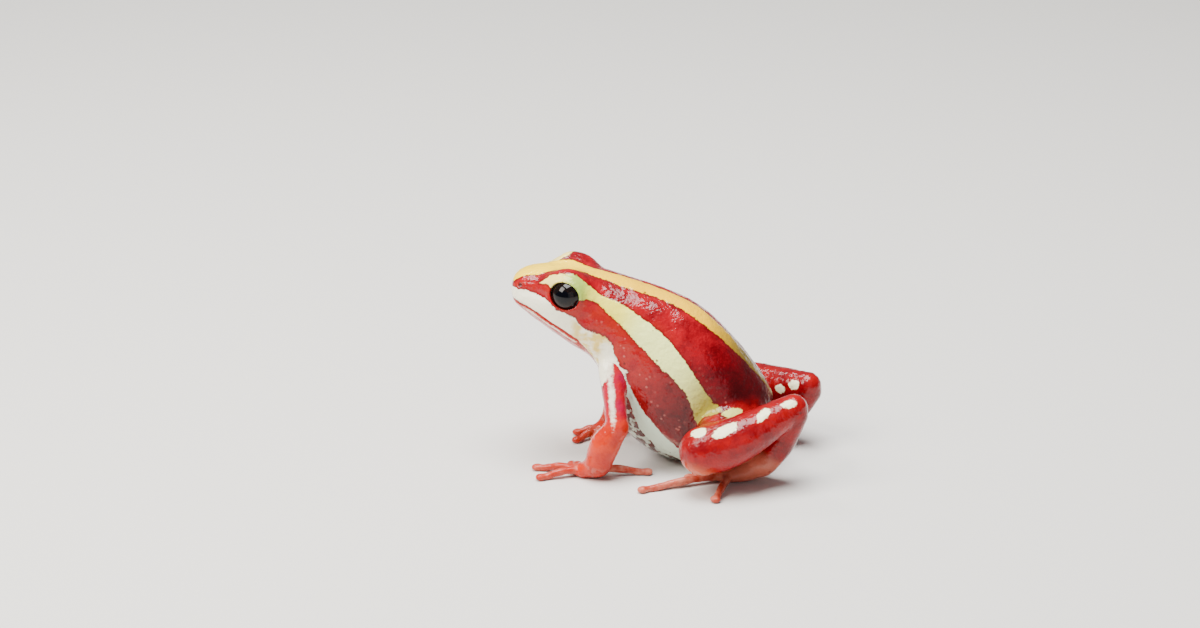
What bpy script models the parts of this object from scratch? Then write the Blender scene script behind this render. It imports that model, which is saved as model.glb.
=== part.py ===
"""A small striped poison frog, life size, sitting upright with its head raised.

The frog faces -X and its left side is -Y. Lengths below are in millimetres and turn
into metres when a mesh is made. At the end the origin is set under the middle of the
animal, on the ground. Every part of the body is one closed solid, and the parts meet
with GAP between.
"""
import math

import bmesh
import bpy
from mathutils import Matrix, Vector

MM = 0.001
GAP = 0.3

# The trunk and head are one loft. Each station gives the ridge of the back, the lowest
# point of the belly (both x, z on the midline) and the half width between them.
STATIONS = (
    (-12.05, 14.55, -11.95, 13.45, 0.85),
    (-11.70, 15.10, -11.60, 12.80, 1.65),
    (-10.80, 15.60, -10.70, 12.15, 2.35),
    (-9.50, 15.85, -9.40, 11.25, 2.95),
    (-8.00, 15.85, -8.00, 10.30, 3.40),
    (-6.50, 15.82, -6.80, 9.50, 3.65),
    (-5.00, 15.64, -5.60, 8.70, 3.60),
    (-2.95, 15.16, -4.90, 7.70, 3.60),
    (-0.73, 14.50, -4.40, 6.40, 3.80),
    (1.50, 13.72, -3.60, 4.90, 4.10),
    (3.50, 12.57, -2.40, 3.30, 4.40),
    (5.15, 11.06, -0.90, 1.80, 4.50),
    (6.50, 9.50, 0.90, 0.60, 4.40),
    (7.60, 8.10, 3.00, -0.10, 4.00),
    (8.40, 7.00, 5.00, -0.10, 3.40),
    (8.90, 6.00, 6.80, 0.70, 2.60),
    (9.15, 5.20, 8.20, 2.40, 1.60),
    (9.20, 4.70, 9.00, 3.90, 0.60),
)
SQUARENESS = 2.15
NECK = 6.3
TAIL_END = float(len(STATIONS) - 1)

EYE_CENTRE = Vector((-7.1, 2.72, 14.5))
EYE_RADIUS = 1.3
EYE_AXIS = Vector((-0.20, 1.0, 0.16)).normalized()
BROW_CENTRE = Vector((-7.25, 2.25, 14.35))
BROW_RADII = (1.95, 1.5, 2.0)
LID_RADIUS = 1.42
LID_THICKNESS = 0.24
LID_OFFSET = 0.86

NOSTRIL_STATION = 1.72
NOSTRIL_ANGLE = 1.0
NOSTRIL_RADIUS = 0.2
EARDRUM_STATION = 5.55
EARDRUM_ANGLE = 1.42
EARDRUM_RADIUS = 0.55
EARDRUM_RIM = 0.13

MOUTH_CORNER = 5.15
MOUTH_GROOVE = 0.13
LIP_RADIUS = 0.2
LIP_SPREAD = 0.24
LIP_DEPTH = 0.08
MOUTH_START = 0.5
SNOUT_REACH = 0.12

LEFT, RIGHT = -1.0, 1.0
NAMES = {LEFT: "left", RIGHT: "right"}

# Joints of the limbs, with y as the distance from the midline.
ARM = {
    LEFT: {"shoulder": (-3.5, 3.1, 8.4), "mid": (-3.15, 4.4, 6.6), "elbow": (-2.75, 5.5, 4.5),
           "muscle": (-3.75, 5.45, 2.9), "cuff": (-4.1, 5.35, 2.0), "wrist": (-4.35, 5.2, 1.1),
           "palm": (-5.4, 4.9, 0.5)},
    RIGHT: {"shoulder": (-3.5, 3.1, 8.4), "mid": (-3.4, 4.6, 6.6), "elbow": (-3.3, 5.8, 4.5),
            "muscle": (-3.9, 5.2, 2.9), "cuff": (-4.15, 4.8, 2.0), "wrist": (-4.4, 4.4, 1.1),
            "palm": (-5.2, 3.85, 0.5)},
}
FINGER_TIPS = {
    LEFT: ((-6.7, 3.3), (-9.4, 4.3), (-8.8, 6.3), (-0.5, 4.0)),
    RIGHT: ((-5.6, 2.3), (-7.1, 1.9), (-7.3, 3.6), (-3.9, 6.4)),
}
LEG = {
    LEFT: {"hip": (7.0, 2.2, 4.7), "thigh": (5.3, 4.7, 4.3), "knee": (4.3, 7.2, 3.62),
           "calf": (6.8, 6.6, 4.42), "heel": (11.05, 4.2, 6.4),
           "instep": (10.1, 4.15, 3.3), "ankle": (8.7, 4.1, 1.65), "sole": (7.3, 4.1, 0.82)},
    RIGHT: {"hip": (7.0, 2.2, 4.6), "thigh": (5.6, 4.6, 4.2), "knee": (4.5, 7.2, 3.6),
            "calf": (7.0, 6.5, 4.05), "heel": (11.5, 4.1, 5.15),
            "instep": (10.5, 4.05, 3.0), "ankle": (8.9, 4.0, 1.6), "sole": (7.5, 4.0, 0.82)},
}
TOE_TIPS = ((4.5, 3.1), (3.4, 3.7), (2.9, 4.7), (-0.45, 7.7), (5.45, 8.8))
TOE_ROOTS = (-0.5, -0.35, -0.2, 0.0, 0.6)
DIGIT_RADIUS = 0.34
DISC_RADIUS = 0.5

COLOURS = {
    "back": (0.42, 0.012, 0.018, 1.0),
    "limb": (0.58, 0.05, 0.03, 1.0),
    "foot": (0.45, 0.07, 0.07, 1.0),
    "eye": (0.006, 0.006, 0.01, 1.0),
}
SKIN_ROUGHNESS = 0.32
EYE_ROUGHNESS = 0.05

materials = {}


def clear_scene():
    for thing in list(bpy.data.objects):
        bpy.data.objects.remove(thing, do_unlink=True)


def material(name):
    """One Principled material for each colour name."""
    if name not in materials:
        made = bpy.data.materials.new(name)
        made.use_nodes = True
        shader = made.node_tree.nodes["Principled BSDF"]
        shader.inputs["Base Color"].default_value = COLOURS[name]
        shader.inputs["Roughness"].default_value = EYE_ROUGHNESS if name == "eye" else SKIN_ROUGHNESS
        shader.inputs["Metallic"].default_value = 0.0
        materials[name] = made
    return materials[name]


def smooth_between(rows, u):
    """The row at u on a smooth curve through rows, with one unit of u for each row."""
    last = len(rows) - 1
    i = max(0, min(int(u), last - 1))
    t = u - i
    before, here, there, after = (rows[max(0, min(last, k))] for k in (i - 1, i, i + 1, i + 2))
    return tuple(
        0.5 * (2 * b + (c - a) * t + (2 * a - 5 * b + 4 * c - d) * t * t
               + (3 * b - a - 3 * c + d) * t ** 3)
        for a, b, c, d in zip(before, here, there, after))


def power(value, exponent):
    return math.copysign(abs(value) ** exponent, value)


def body_point(u, angle, side=RIGHT, extra=0.0):
    """A point of the trunk's skin: angle is 0 on the back's ridge and pi under the belly."""
    top_x, top_z, low_x, low_z, half_width = smooth_between(STATIONS, u)
    centre = Vector(((top_x + low_x) / 2, 0.0, (top_z + low_z) / 2))
    reach = Vector(((top_x - low_x) / 2, 0.0, (top_z - low_z) / 2))
    reach *= 1 + extra / reach.length
    exponent = 2 / SQUARENESS
    across = (half_width + extra) * power(math.sin(angle), exponent) * side
    return centre + reach * power(math.cos(angle), exponent) + Vector((0, across, 0))


def ring_normal(u):
    """The direction square to the station at u, pointing to the tail."""
    top_x, top_z, low_x, low_z, _ = smooth_between(STATIONS, u)
    return Vector((top_z - low_z, 0.0, low_x - top_x)).normalized()


def mesh_object(name, points, faces):
    """A closed mesh from points in millimetres."""
    mesh = bpy.data.meshes.new(name)
    mesh.from_pydata([tuple(p * MM) for p in points], [], faces)
    tidy = bmesh.new()
    tidy.from_mesh(mesh)
    bmesh.ops.recalc_face_normals(tidy, faces=tidy.faces)
    bmesh.ops.triangulate(tidy, faces=tidy.faces)
    tidy.to_mesh(mesh)
    tidy.free()
    made = bpy.data.objects.new(name, mesh)
    bpy.context.scene.collection.objects.link(made)
    return made


def loft(name, rings):
    """Skin a row of rings that have the same number of points, and close both ends."""
    around = len(rings[0])
    points = [p for ring in rings for p in ring]
    faces = []
    for r in range(len(rings) - 1):
        for k in range(around):
            nxt = (k + 1) % around
            faces.append((r * around + k, r * around + nxt,
                          (r + 1) * around + nxt, (r + 1) * around + k))
    for r in (0, len(rings) - 1):
        centre = len(points)
        points.append(sum(rings[r], Vector()) / around)
        faces += [(r * around + k, r * around + (k + 1) % around, centre) for k in range(around)]
    return mesh_object(name, points, faces)


def body_loft(name, start, end, steps, around, extra=0.0, start_shift=0.0, end_shift=0.0):
    """The trunk between two stations, each end moved along the body by its shift."""
    rings = []
    for k in range(steps + 1):
        u = start + (end - start) * k / steps
        shift = ring_normal(u) * (start_shift if k == 0 else end_shift if k == steps else 0.0)
        rings.append([body_point(u, 2 * math.pi * j / around, RIGHT, extra) + shift
                      for j in range(around)])
    return loft(name, rings)


def tube(name, spine, radii, steps=10, around=12, extra=0.0):
    """A smooth limb along spine. Each radius is (sideways, upright) at its spine point."""
    rows = [tuple(p) + tuple(r) for p, r in zip(spine, radii)]
    last = len(rows) - 1
    path = [smooth_between(rows, last * k / steps) for k in range(steps + 1)]
    points = [Vector(row[:3]) for row in path]
    rings = []
    round_steps = 3
    for k, (point, row) in enumerate(zip(points, path)):
        ahead = points[min(k + 1, steps)] - points[max(k - 1, 0)]
        along = ahead.normalized()
        sideways = along.cross(Vector((0, 0, 1)))
        sideways = sideways.normalized() if sideways.length > 0.2 else Vector((0, 1, 0))
        upright = sideways.cross(along).normalized()
        wide, tall = row[3] + extra, row[4] + extra
        turns = [2 * math.pi * j / around for j in range(around)]
        ring = [sideways * wide * math.cos(a) + upright * tall * math.sin(a) for a in turns]
        if k == 0:
            for j in range(round_steps):
                lift = math.radians(80 - 80 * j / round_steps)
                back = along * -min(wide, tall) * math.sin(lift)
                rings.append([point + back + p * math.cos(lift) for p in ring])
        rings.append([point + p for p in ring])
        if k == steps:
            for j in range(1, round_steps + 1):
                lift = math.radians(80 * j / round_steps)
                forward = along * min(wide, tall) * math.sin(lift)
                rings.append([point + forward + p * math.cos(lift) for p in ring])
    return loft(name, rings)


def ellipsoid(name, centre, radii, extra=0.0, rows=10, around=16, turn=None):
    """A closed ball stretched to radii."""
    rings = []
    for r in range(rows):
        lift = math.pi * (r + 0.5) / rows
        rings.append([Vector(((radii[0] + extra) * math.sin(lift) * math.cos(2 * math.pi * j / around),
                              (radii[1] + extra) * math.sin(lift) * math.sin(2 * math.pi * j / around),
                              (radii[2] + extra) * math.cos(lift))) for j in range(around)])
    spin = turn or Matrix.Identity(3)
    return loft(name, [[centre + spin @ p for p in ring] for ring in rings])


def hoop(name, centre, axis, radius, thickness, around=20, section=5):
    """A closed round bar around axis."""
    spin = axis.to_track_quat("Z", "Y").to_matrix()
    points, faces = [], []
    for k in range(around):
        a = 2 * math.pi * k / around
        for j in range(section):
            b = 2 * math.pi * j / section
            reach = radius + thickness * math.cos(b)
            points.append(centre + spin @ Vector((reach * math.cos(a), reach * math.sin(a),
                                                  thickness * math.sin(b))))
            nxt, up = (j + 1) % section, (k + 1) % around
            faces.append((k * section + j, k * section + nxt, up * section + nxt, up * section + j))
    return mesh_object(name, points, faces)


def combine(target, others, operation):
    """Union or cut target with a collection of solids, which are then removed."""
    group = bpy.data.collections.new(target.name + "_pieces")
    bpy.context.scene.collection.children.link(group)
    for other in others:
        bpy.context.scene.collection.objects.unlink(other)
        group.objects.link(other)
        other.hide_render = True
        other.display_type = "WIRE"
    change = target.modifiers.new(operation.lower(), "BOOLEAN")
    change.operation = operation
    change.solver = "EXACT"
    change.operand_type = "COLLECTION"
    change.collection = group
    apply_modifiers(target)
    for other in others:
        bpy.data.objects.remove(other, do_unlink=True)
    bpy.data.collections.remove(group)
    keep_largest(target)
    return target


def apply_modifiers(target):
    bpy.context.view_layer.update()
    graph = bpy.context.evaluated_depsgraph_get()
    made = bpy.data.meshes.new_from_object(target.evaluated_get(graph))
    target.modifiers.clear()
    target.data = made


def keep_largest(target):
    """Keep the largest closed surface of a mesh, with its smallest slivers dissolved."""
    shape = bmesh.new()
    shape.from_mesh(target.data)
    bmesh.ops.triangulate(shape, faces=shape.faces)
    left = set(shape.faces)
    shells = []
    while left:
        shell = {left.pop()}
        edge_of = list(shell)
        while edge_of:
            for edge in edge_of.pop().edges:
                for face in edge.link_faces:
                    if face in left:
                        left.discard(face)
                        shell.add(face)
                        edge_of.append(face)
        shells.append(shell)
    best = max(shells, key=lambda s: sum(f.calc_area() for f in s))
    bmesh.ops.delete(shape, geom=[f for f in shape.faces if f not in best], context="FACES")
    loose = [v for v in shape.verts if not v.link_faces]
    bmesh.ops.delete(shape, geom=loose, context="VERTS")
    shape.to_mesh(target.data)
    shape.free()


def dress(target, colour):
    """Give a finished node its material and smooth shading."""
    target.data.materials.clear()
    target.data.materials.append(material(colour))
    target.data.shade_smooth()
    return target


def sided(point, side):
    return Vector((point[0], side * point[1], point[2]))


def ground_cutter():
    """Everything below the ground, so that whatever rests there has a flat on it."""
    half, depth = 30.0, 5.0
    corners = [Vector((x, y, z)) for z in (-depth, 0.0) for x, y in
               ((-half, -half), (half, -half), (half, half), (-half, half))]
    faces = [(0, 1, 2, 3), (4, 5, 6, 7), (0, 1, 5, 4), (1, 2, 6, 5), (2, 3, 7, 6), (3, 0, 4, 7)]
    return mesh_object("ground", corners, faces)


def mouth_angle(u):
    """Where the mouth runs on the head: low at the snout, a little lower at its corner."""
    along = u / MOUTH_CORNER
    return 2.02 - 0.16 * math.sin(math.pi * along) + 0.03 * along


def mouth_path(offset=0.0, depth=0.0):
    """Points of the mouth line from the right corner round the snout to the left one."""
    half = []
    count = 10
    for k in range(count + 1):
        u = MOUTH_START + (MOUTH_CORNER - MOUTH_START) * k / count
        half.append((u, mouth_angle(u) + offset / (0.6 + 0.8 * min(u, 3.0))))
    right = [body_point(u, a, RIGHT, -depth) for u, a in reversed(half)]
    left = [body_point(u, a, LEFT, -depth) for u, a in half]
    front = [(right[-1] + left[0]) / 2 + Vector((-SNOUT_REACH, 0, 0))]
    return right + front + left


def head_node():
    """Head with brows, lids, eye sockets, lips, mouth line, nostrils and eardrums."""
    head = body_loft("head", 0.0, NECK, 22, 32, end_shift=-GAP / 2)
    added, cutters = [], []
    for side in (LEFT, RIGHT):
        added.append(ellipsoid("brow", sided(BROW_CENTRE, side), BROW_RADII, rows=10, around=18))
        axis = sided(EYE_AXIS, side)
        lid_centre = sided(EYE_CENTRE, side) + axis * LID_OFFSET
        added.append(hoop("lid", lid_centre, axis, LID_RADIUS, LID_THICKNESS))
        ear = body_point(EARDRUM_STATION, EARDRUM_ANGLE, side)
        outward = (ear - body_point(EARDRUM_STATION, EARDRUM_ANGLE, side, -1.0)).normalized()
        added.append(hoop("eardrum", ear, outward, EARDRUM_RADIUS, EARDRUM_RIM, around=14))
        cutters.append(ellipsoid("socket", sided(EYE_CENTRE, side), (EYE_RADIUS + GAP,) * 3,
                                 rows=12, around=20))
        nostril = body_point(NOSTRIL_STATION, NOSTRIL_ANGLE, side)
        cutters.append(ellipsoid("nostril", nostril, (NOSTRIL_RADIUS,) * 3, rows=6, around=8))
    for offset in (-LIP_SPREAD, LIP_SPREAD):
        path = mouth_path(offset, LIP_DEPTH)
        added.append(tube("lip", path, [(LIP_RADIUS, LIP_RADIUS)] * len(path), steps=26, around=6))
    combine(head, added, "UNION")
    groove = mouth_path()
    cutters.append(tube("mouth", groove, [(MOUTH_GROOVE,) * 2] * len(groove), steps=26, around=5))
    combine(head, cutters, "DIFFERENCE")
    return dress(head, "back")


def torso_node():
    torso = body_loft("torso", NECK, TAIL_END, 24, 28, start_shift=GAP / 2)
    combine(torso, [ground_cutter()], "DIFFERENCE")
    return dress(torso, "back")


def trunk_clearance():
    """The trunk and head grown by the gap, which cuts the roots of the limbs."""
    return body_loft("clearance", 3.0, TAIL_END, 24, 28, extra=GAP)


def limb(name, joints, names, radii, side, extra=0.0, around=12):
    spine = [sided(joints[n], side) for n in names]
    return tube(name, spine, radii, around=around, extra=extra)


def upper_arm(side, extra=0.0):
    return limb("upper_arm_" + NAMES[side], ARM[side], ("shoulder", "mid", "elbow"),
                ((1.1, 1.2), (0.9, 0.92), (0.86, 0.86)), side, extra)


def forearm(side, extra=0.0):
    return limb("forearm_" + NAMES[side], ARM[side], ("elbow", "muscle", "cuff"),
                ((0.86, 0.9), (1.2, 1.2), (1.14, 1.14)), side, extra)


def shank(side, extra=0.0):
    return limb("shank_" + NAMES[side], LEG[side], ("knee", "calf", "heel"),
                ((1.9, 1.98), (1.78, 1.95), (1.08, 1.18)), side, extra, around=16)


def thigh(side, extra=0.0):
    return limb("thigh_" + NAMES[side], LEG[side], ("hip", "thigh", "knee"),
                ((1.5, 1.62), (1.6, 1.65), (1.3, 1.4)), side, extra, around=16)


def tarsus(side, extra=0.0):
    joints = dict(LEG[side])
    heel = Vector(joints["heel"])
    joints["heel"] = tuple(heel + Vector((0.15, 0.1, -0.5)))
    return limb("tarsus_" + NAMES[side], joints, ("heel", "instep", "ankle"),
                ((1.0, 1.05), (1.02, 1.08), (1.08, 1.08)), side, extra)


def digit(name, root, tip, side, arch=0.25, base=DIGIT_RADIUS):
    """A finger or toe from its root to a small disc, bent a little over the ground."""
    start = sided(root, side)
    end = sided((tip[0], tip[1], DIGIT_RADIUS * 0.8), side)
    middle = start.lerp(end, 0.5) + Vector((0, 0, arch))
    near = start.lerp(end, 0.88)
    near.z = DIGIT_RADIUS * 0.8
    radii = ((base, base), (DIGIT_RADIUS * 0.92,) * 2, (DIGIT_RADIUS * 0.8,) * 2,
             (DISC_RADIUS * 0.86, DIGIT_RADIUS))
    return tube(name, [start, middle, near, end], radii, steps=7, around=7)


def hand(side):
    """Palm and four fingers."""
    palm_at = ARM[side]["palm"]
    name = "hand_" + NAMES[side]
    spine = [sided(ARM[side][n], side) for n in ("cuff", "wrist", "palm")]
    palm = tube(name, spine, ((1.12, 1.12), (1.02, 0.98), (1.0, 0.6)), steps=6, around=12)
    fingers = [digit("finger", palm_at, tip, side, base=0.42) for tip in FINGER_TIPS[side]]
    return combine(palm, fingers, "UNION")


def foot(side):
    """Sole and five toes, the fourth toe the longest."""
    joints = LEG[side]
    name = "foot_" + NAMES[side]
    spine = [sided(joints["ankle"], side), sided(joints["sole"], side)]
    spine.append(sided(Vector(joints["sole"]) + Vector((-1.6, 0.2, -0.32)), side))
    sole = tube(name, spine, ((1.1, 1.05), (1.06, 0.82), (0.92, 0.46)), steps=8, around=12)
    root = Vector(joints["sole"]) + Vector((-1.2, 0.1, -0.32))
    toes = []
    for place, tip in enumerate(TOE_TIPS):
        spread = Vector((0.0, TOE_ROOTS[place], 0.0))
        toes.append(digit("toe", tuple(root + spread), tip, side, arch=0.08, base=0.4))
    return combine(sole, toes, "UNION")


def build_arm(side):
    arm = upper_arm(side)
    combine(arm, [trunk_clearance()], "DIFFERENCE")
    lower = forearm(side)
    combine(lower, [upper_arm(side, GAP), trunk_clearance()], "DIFFERENCE")
    palm = hand(side)
    combine(palm, [forearm(side, GAP), ground_cutter()], "DIFFERENCE")
    dress(arm, "limb")
    dress(lower, "limb")
    dress(palm, "limb")


def build_leg(side):
    calf = shank(side)
    combine(calf, [trunk_clearance(), ground_cutter()], "DIFFERENCE")
    upper = thigh(side)
    combine(upper, [trunk_clearance(), shank(side, GAP)], "DIFFERENCE")
    instep = tarsus(side)
    combine(instep, [shank(side, GAP)], "DIFFERENCE")
    sole = foot(side)
    combine(sole, [tarsus(side, GAP), shank(side, GAP), ground_cutter()], "DIFFERENCE")
    dress(calf, "limb")
    dress(upper, "limb")
    dress(instep, "foot")
    dress(sole, "foot")


def build_eyes():
    for side in (LEFT, RIGHT):
        eye = ellipsoid("eye_" + NAMES[side], sided(EYE_CENTRE, side), (EYE_RADIUS,) * 3,
                        rows=12, around=20)
        dress(eye, "eye")


def set_origin():
    """Move the whole animal so that its origin is under the middle of its box."""
    nodes = [thing for thing in bpy.data.objects if thing.type == "MESH"]
    places = [vertex.co for thing in nodes for vertex in thing.data.vertices]
    low, high = ([pick(p[axis] for p in places) for axis in range(3)] for pick in (min, max))
    shift = Matrix.Translation((-(low[0] + high[0]) / 2, -(low[1] + high[1]) / 2, -low[2]))
    for thing in nodes:
        thing.data.transform(shift)


def main():
    clear_scene()
    head_node()
    torso_node()
    build_eyes()
    for side in (LEFT, RIGHT):
        build_arm(side)
        build_leg(side)
    set_origin()


main()
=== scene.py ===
"""The looks of a small striped poison frog that sits upright on the floor of a plain studio.

The frog's flesh is one skin. It is modelled like clay: trunk, limbs and digits are blended
solids in a block of distances, the face is pressed and raised in it, and its surface is
turned into one mesh. The eyes are separate. Lengths are in millimetres in the sculptor's
own frame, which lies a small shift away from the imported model's frame.
"""
import logging
import math
from dataclasses import dataclass
from enum import Enum
from typing import Callable, Sequence

import bmesh
import bpy
import numpy as np
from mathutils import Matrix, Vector


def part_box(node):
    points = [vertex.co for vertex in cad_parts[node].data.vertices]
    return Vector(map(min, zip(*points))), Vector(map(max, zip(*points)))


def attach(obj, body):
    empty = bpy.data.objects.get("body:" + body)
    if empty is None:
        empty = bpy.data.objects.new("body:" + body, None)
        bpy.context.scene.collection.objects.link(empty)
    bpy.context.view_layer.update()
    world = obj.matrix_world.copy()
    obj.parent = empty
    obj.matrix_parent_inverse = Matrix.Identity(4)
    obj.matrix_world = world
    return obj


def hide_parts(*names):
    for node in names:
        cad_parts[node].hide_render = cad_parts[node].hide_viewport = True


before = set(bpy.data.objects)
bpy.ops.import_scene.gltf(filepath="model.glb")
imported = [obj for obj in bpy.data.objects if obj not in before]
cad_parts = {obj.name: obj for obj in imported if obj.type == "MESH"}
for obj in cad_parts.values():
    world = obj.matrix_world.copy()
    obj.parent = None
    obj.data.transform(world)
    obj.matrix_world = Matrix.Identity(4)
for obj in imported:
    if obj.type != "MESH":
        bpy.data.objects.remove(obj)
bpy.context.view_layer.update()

LOG = logging.getLogger("frog")
MM = 0.001
ROOT = "root"
# An eyeball's centre, with y as its distance from the midline.
EYE_PLACE = (-7.1, 2.72, 14.5)
# Distances in the clay are kept up to this many millimetres.
FAR = 3.0
# Keeps divisors away from zero.
TINY = 1e-9
Array = np.ndarray
Socket = bpy.types.NodeSocket
Point = tuple[float, float, float]
Rows = tuple[tuple[float, ...], ...]
Reach = tuple[Array, Array]
Pair = tuple[float, float]
Grid = Sequence[Array]
Field = Callable[[Grid], Array]


class Side(Enum):
    """The frog's own left and right, with the sign of y on each."""

    LEFT = -1
    RIGHT = 1

    @property
    def label(self) -> str:
        """The side's word in the names of nodes."""
        return self.name.lower()

    def place(self, point: Sequence[float]) -> Array:
        """Put a point whose y is its distance from the midline on this side."""
        return np.array((point[0], self.value * point[1], point[2]))


def linear(hex_colour: str) -> tuple[float, float, float, float]:
    """Turn an sRGB hex colour into linear RGBA.

    Args:
        hex_colour: Six hex digits after a hash.

    Returns:
        Linear red, green, blue and an alpha of one.
    """
    parts = [int(hex_colour[k:k + 2], 16) / 255 for k in (1, 3, 5)]
    light = [p / 12.92 if p <= 0.04045 else ((p + 0.055) / 1.055) ** 2.4 for p in parts]
    return (light[0], light[1], light[2], 1.0)


def frame_shift() -> Array:
    """The step in millimetres from the sculptor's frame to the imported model's frame."""
    low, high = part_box("eye_left")
    return (np.array(low) + np.array(high)) / 2 / MM - Side.LEFT.place(EYE_PLACE)


def smooth_rows(rows: Array, u: Array) -> Array:
    """Values on a smooth curve through rows, with one unit of u for each row.

    Args:
        rows: One row of values for each whole number.
        u: Places along the curve.

    Returns:
        One row of values for each place.
    """
    last = len(rows) - 1
    index = np.clip(np.asarray(u, float).astype(int), 0, last - 1)
    t = (u - index)[..., None]
    a, b, c, d = (rows[np.clip(index + k, 0, last)] for k in (-1, 0, 1, 2))
    bend = (2 * a - 5 * b + 4 * c - d) * t * t + (3 * b - a - 3 * c + d) * t ** 3
    return 0.5 * (2 * b + (c - a) * t + bend)


def power(value: Array, exponent: float) -> Array:
    """A power that keeps the sign."""
    return np.sign(value) * np.abs(value) ** exponent


def ramp(value: Array, start: float, end: float) -> Array:
    """A smooth step from zero at start to one at end."""
    t = np.clip((value - start) / (end - start), 0.0, 1.0)
    return t * t * (3 - 2 * t)


@dataclass(frozen=True)
class Chain:
    """A limb or digit: round bars from point to point.

    Args:
        points: The bar's axis, one row a point.
        radii: The radius at each point.
        flat: Height over width of the section.
    """

    points: Array
    radii: Array
    flat: float = 1.0

    @staticmethod
    def through(points: Sequence[Sequence[float]], radii: Sequence[float],
                per_step: int = 6, flat: float = 1.0) -> "Chain":
        """A chain along a smooth curve through a few points.

        Args:
            points: Places that the axis passes.
            radii: The radius at each.
            per_step: Bars between two places.
            flat: Height over width of the section.

        Returns:
            The chain.
        """
        rows = np.column_stack((np.array(points, float), np.array(radii, float)))
        path = smooth_rows(rows, np.linspace(0, len(rows) - 1, per_step * (len(rows) - 1) + 1))
        return Chain(path[:, :3], path[:, 3], flat)

    @staticmethod
    def line(points: Sequence[Sequence[float]]) -> "Chain":
        """A path with no thickness."""
        return Chain(np.array(points), np.zeros(len(points)))

    def reach(self, margin: float) -> Reach:
        """The lowest and highest corner of the space within margin of the chain."""
        grow = (self.radii + margin)[:, None]
        return (self.points - grow).min(0), (self.points + grow).max(0)

    def distance(self, grid: Grid) -> Array:
        """Distance in millimetres from the chain's surface, negative inside.

        Args:
            grid: The places' x, y and z, of shapes that broadcast.

        Returns:
            One distance a place.
        """
        x, y, z = grid
        best = None
        for k in range(len(self.points) - 1):
            start, run = self.points[k], self.points[k + 1] - self.points[k]
            t = (x - start[0]) * run[0] + (y - start[1]) * run[1] + (z - start[2]) * run[2]
            t = np.clip(t / max(float(run @ run), TINY), 0.0, 1.0)
            gap = np.sqrt((x - start[0] - t * run[0]) ** 2 + (y - start[1] - t * run[1]) ** 2
                          + ((z - start[2] - t * run[2]) / self.flat) ** 2)
            gap = gap - (self.radii[k] + t * (self.radii[k + 1] - self.radii[k]))
            best = gap if best is None else np.minimum(best, gap)
        return best * min(self.flat, 1.0)


@dataclass(frozen=True)
class Ball:
    """A ball stretched to three radii."""

    centre: Array
    radii: Point

    def reach(self, margin: float) -> Reach:
        """The corners of the space within margin of the ball."""
        grow = np.array(self.radii) + margin
        return self.centre - grow, self.centre + grow

    def distance(self, grid: Grid) -> Array:
        """Distance from the surface to first order, negative inside.

        Args:
            grid: The places' x, y and z, of shapes that broadcast.

        Returns:
            One distance a place.
        """
        a, b, c = (p - q for p, q in zip(grid, self.centre))
        ra, rb, rc = self.radii
        near = np.sqrt((a / ra) ** 2 + (b / rb) ** 2 + (c / rc) ** 2)
        steep = np.sqrt((a / ra ** 2) ** 2 + (b / rb ** 2) ** 2 + (c / rc ** 2) ** 2)
        return near * (near - 1.0) / np.maximum(steep, TINY)


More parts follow.
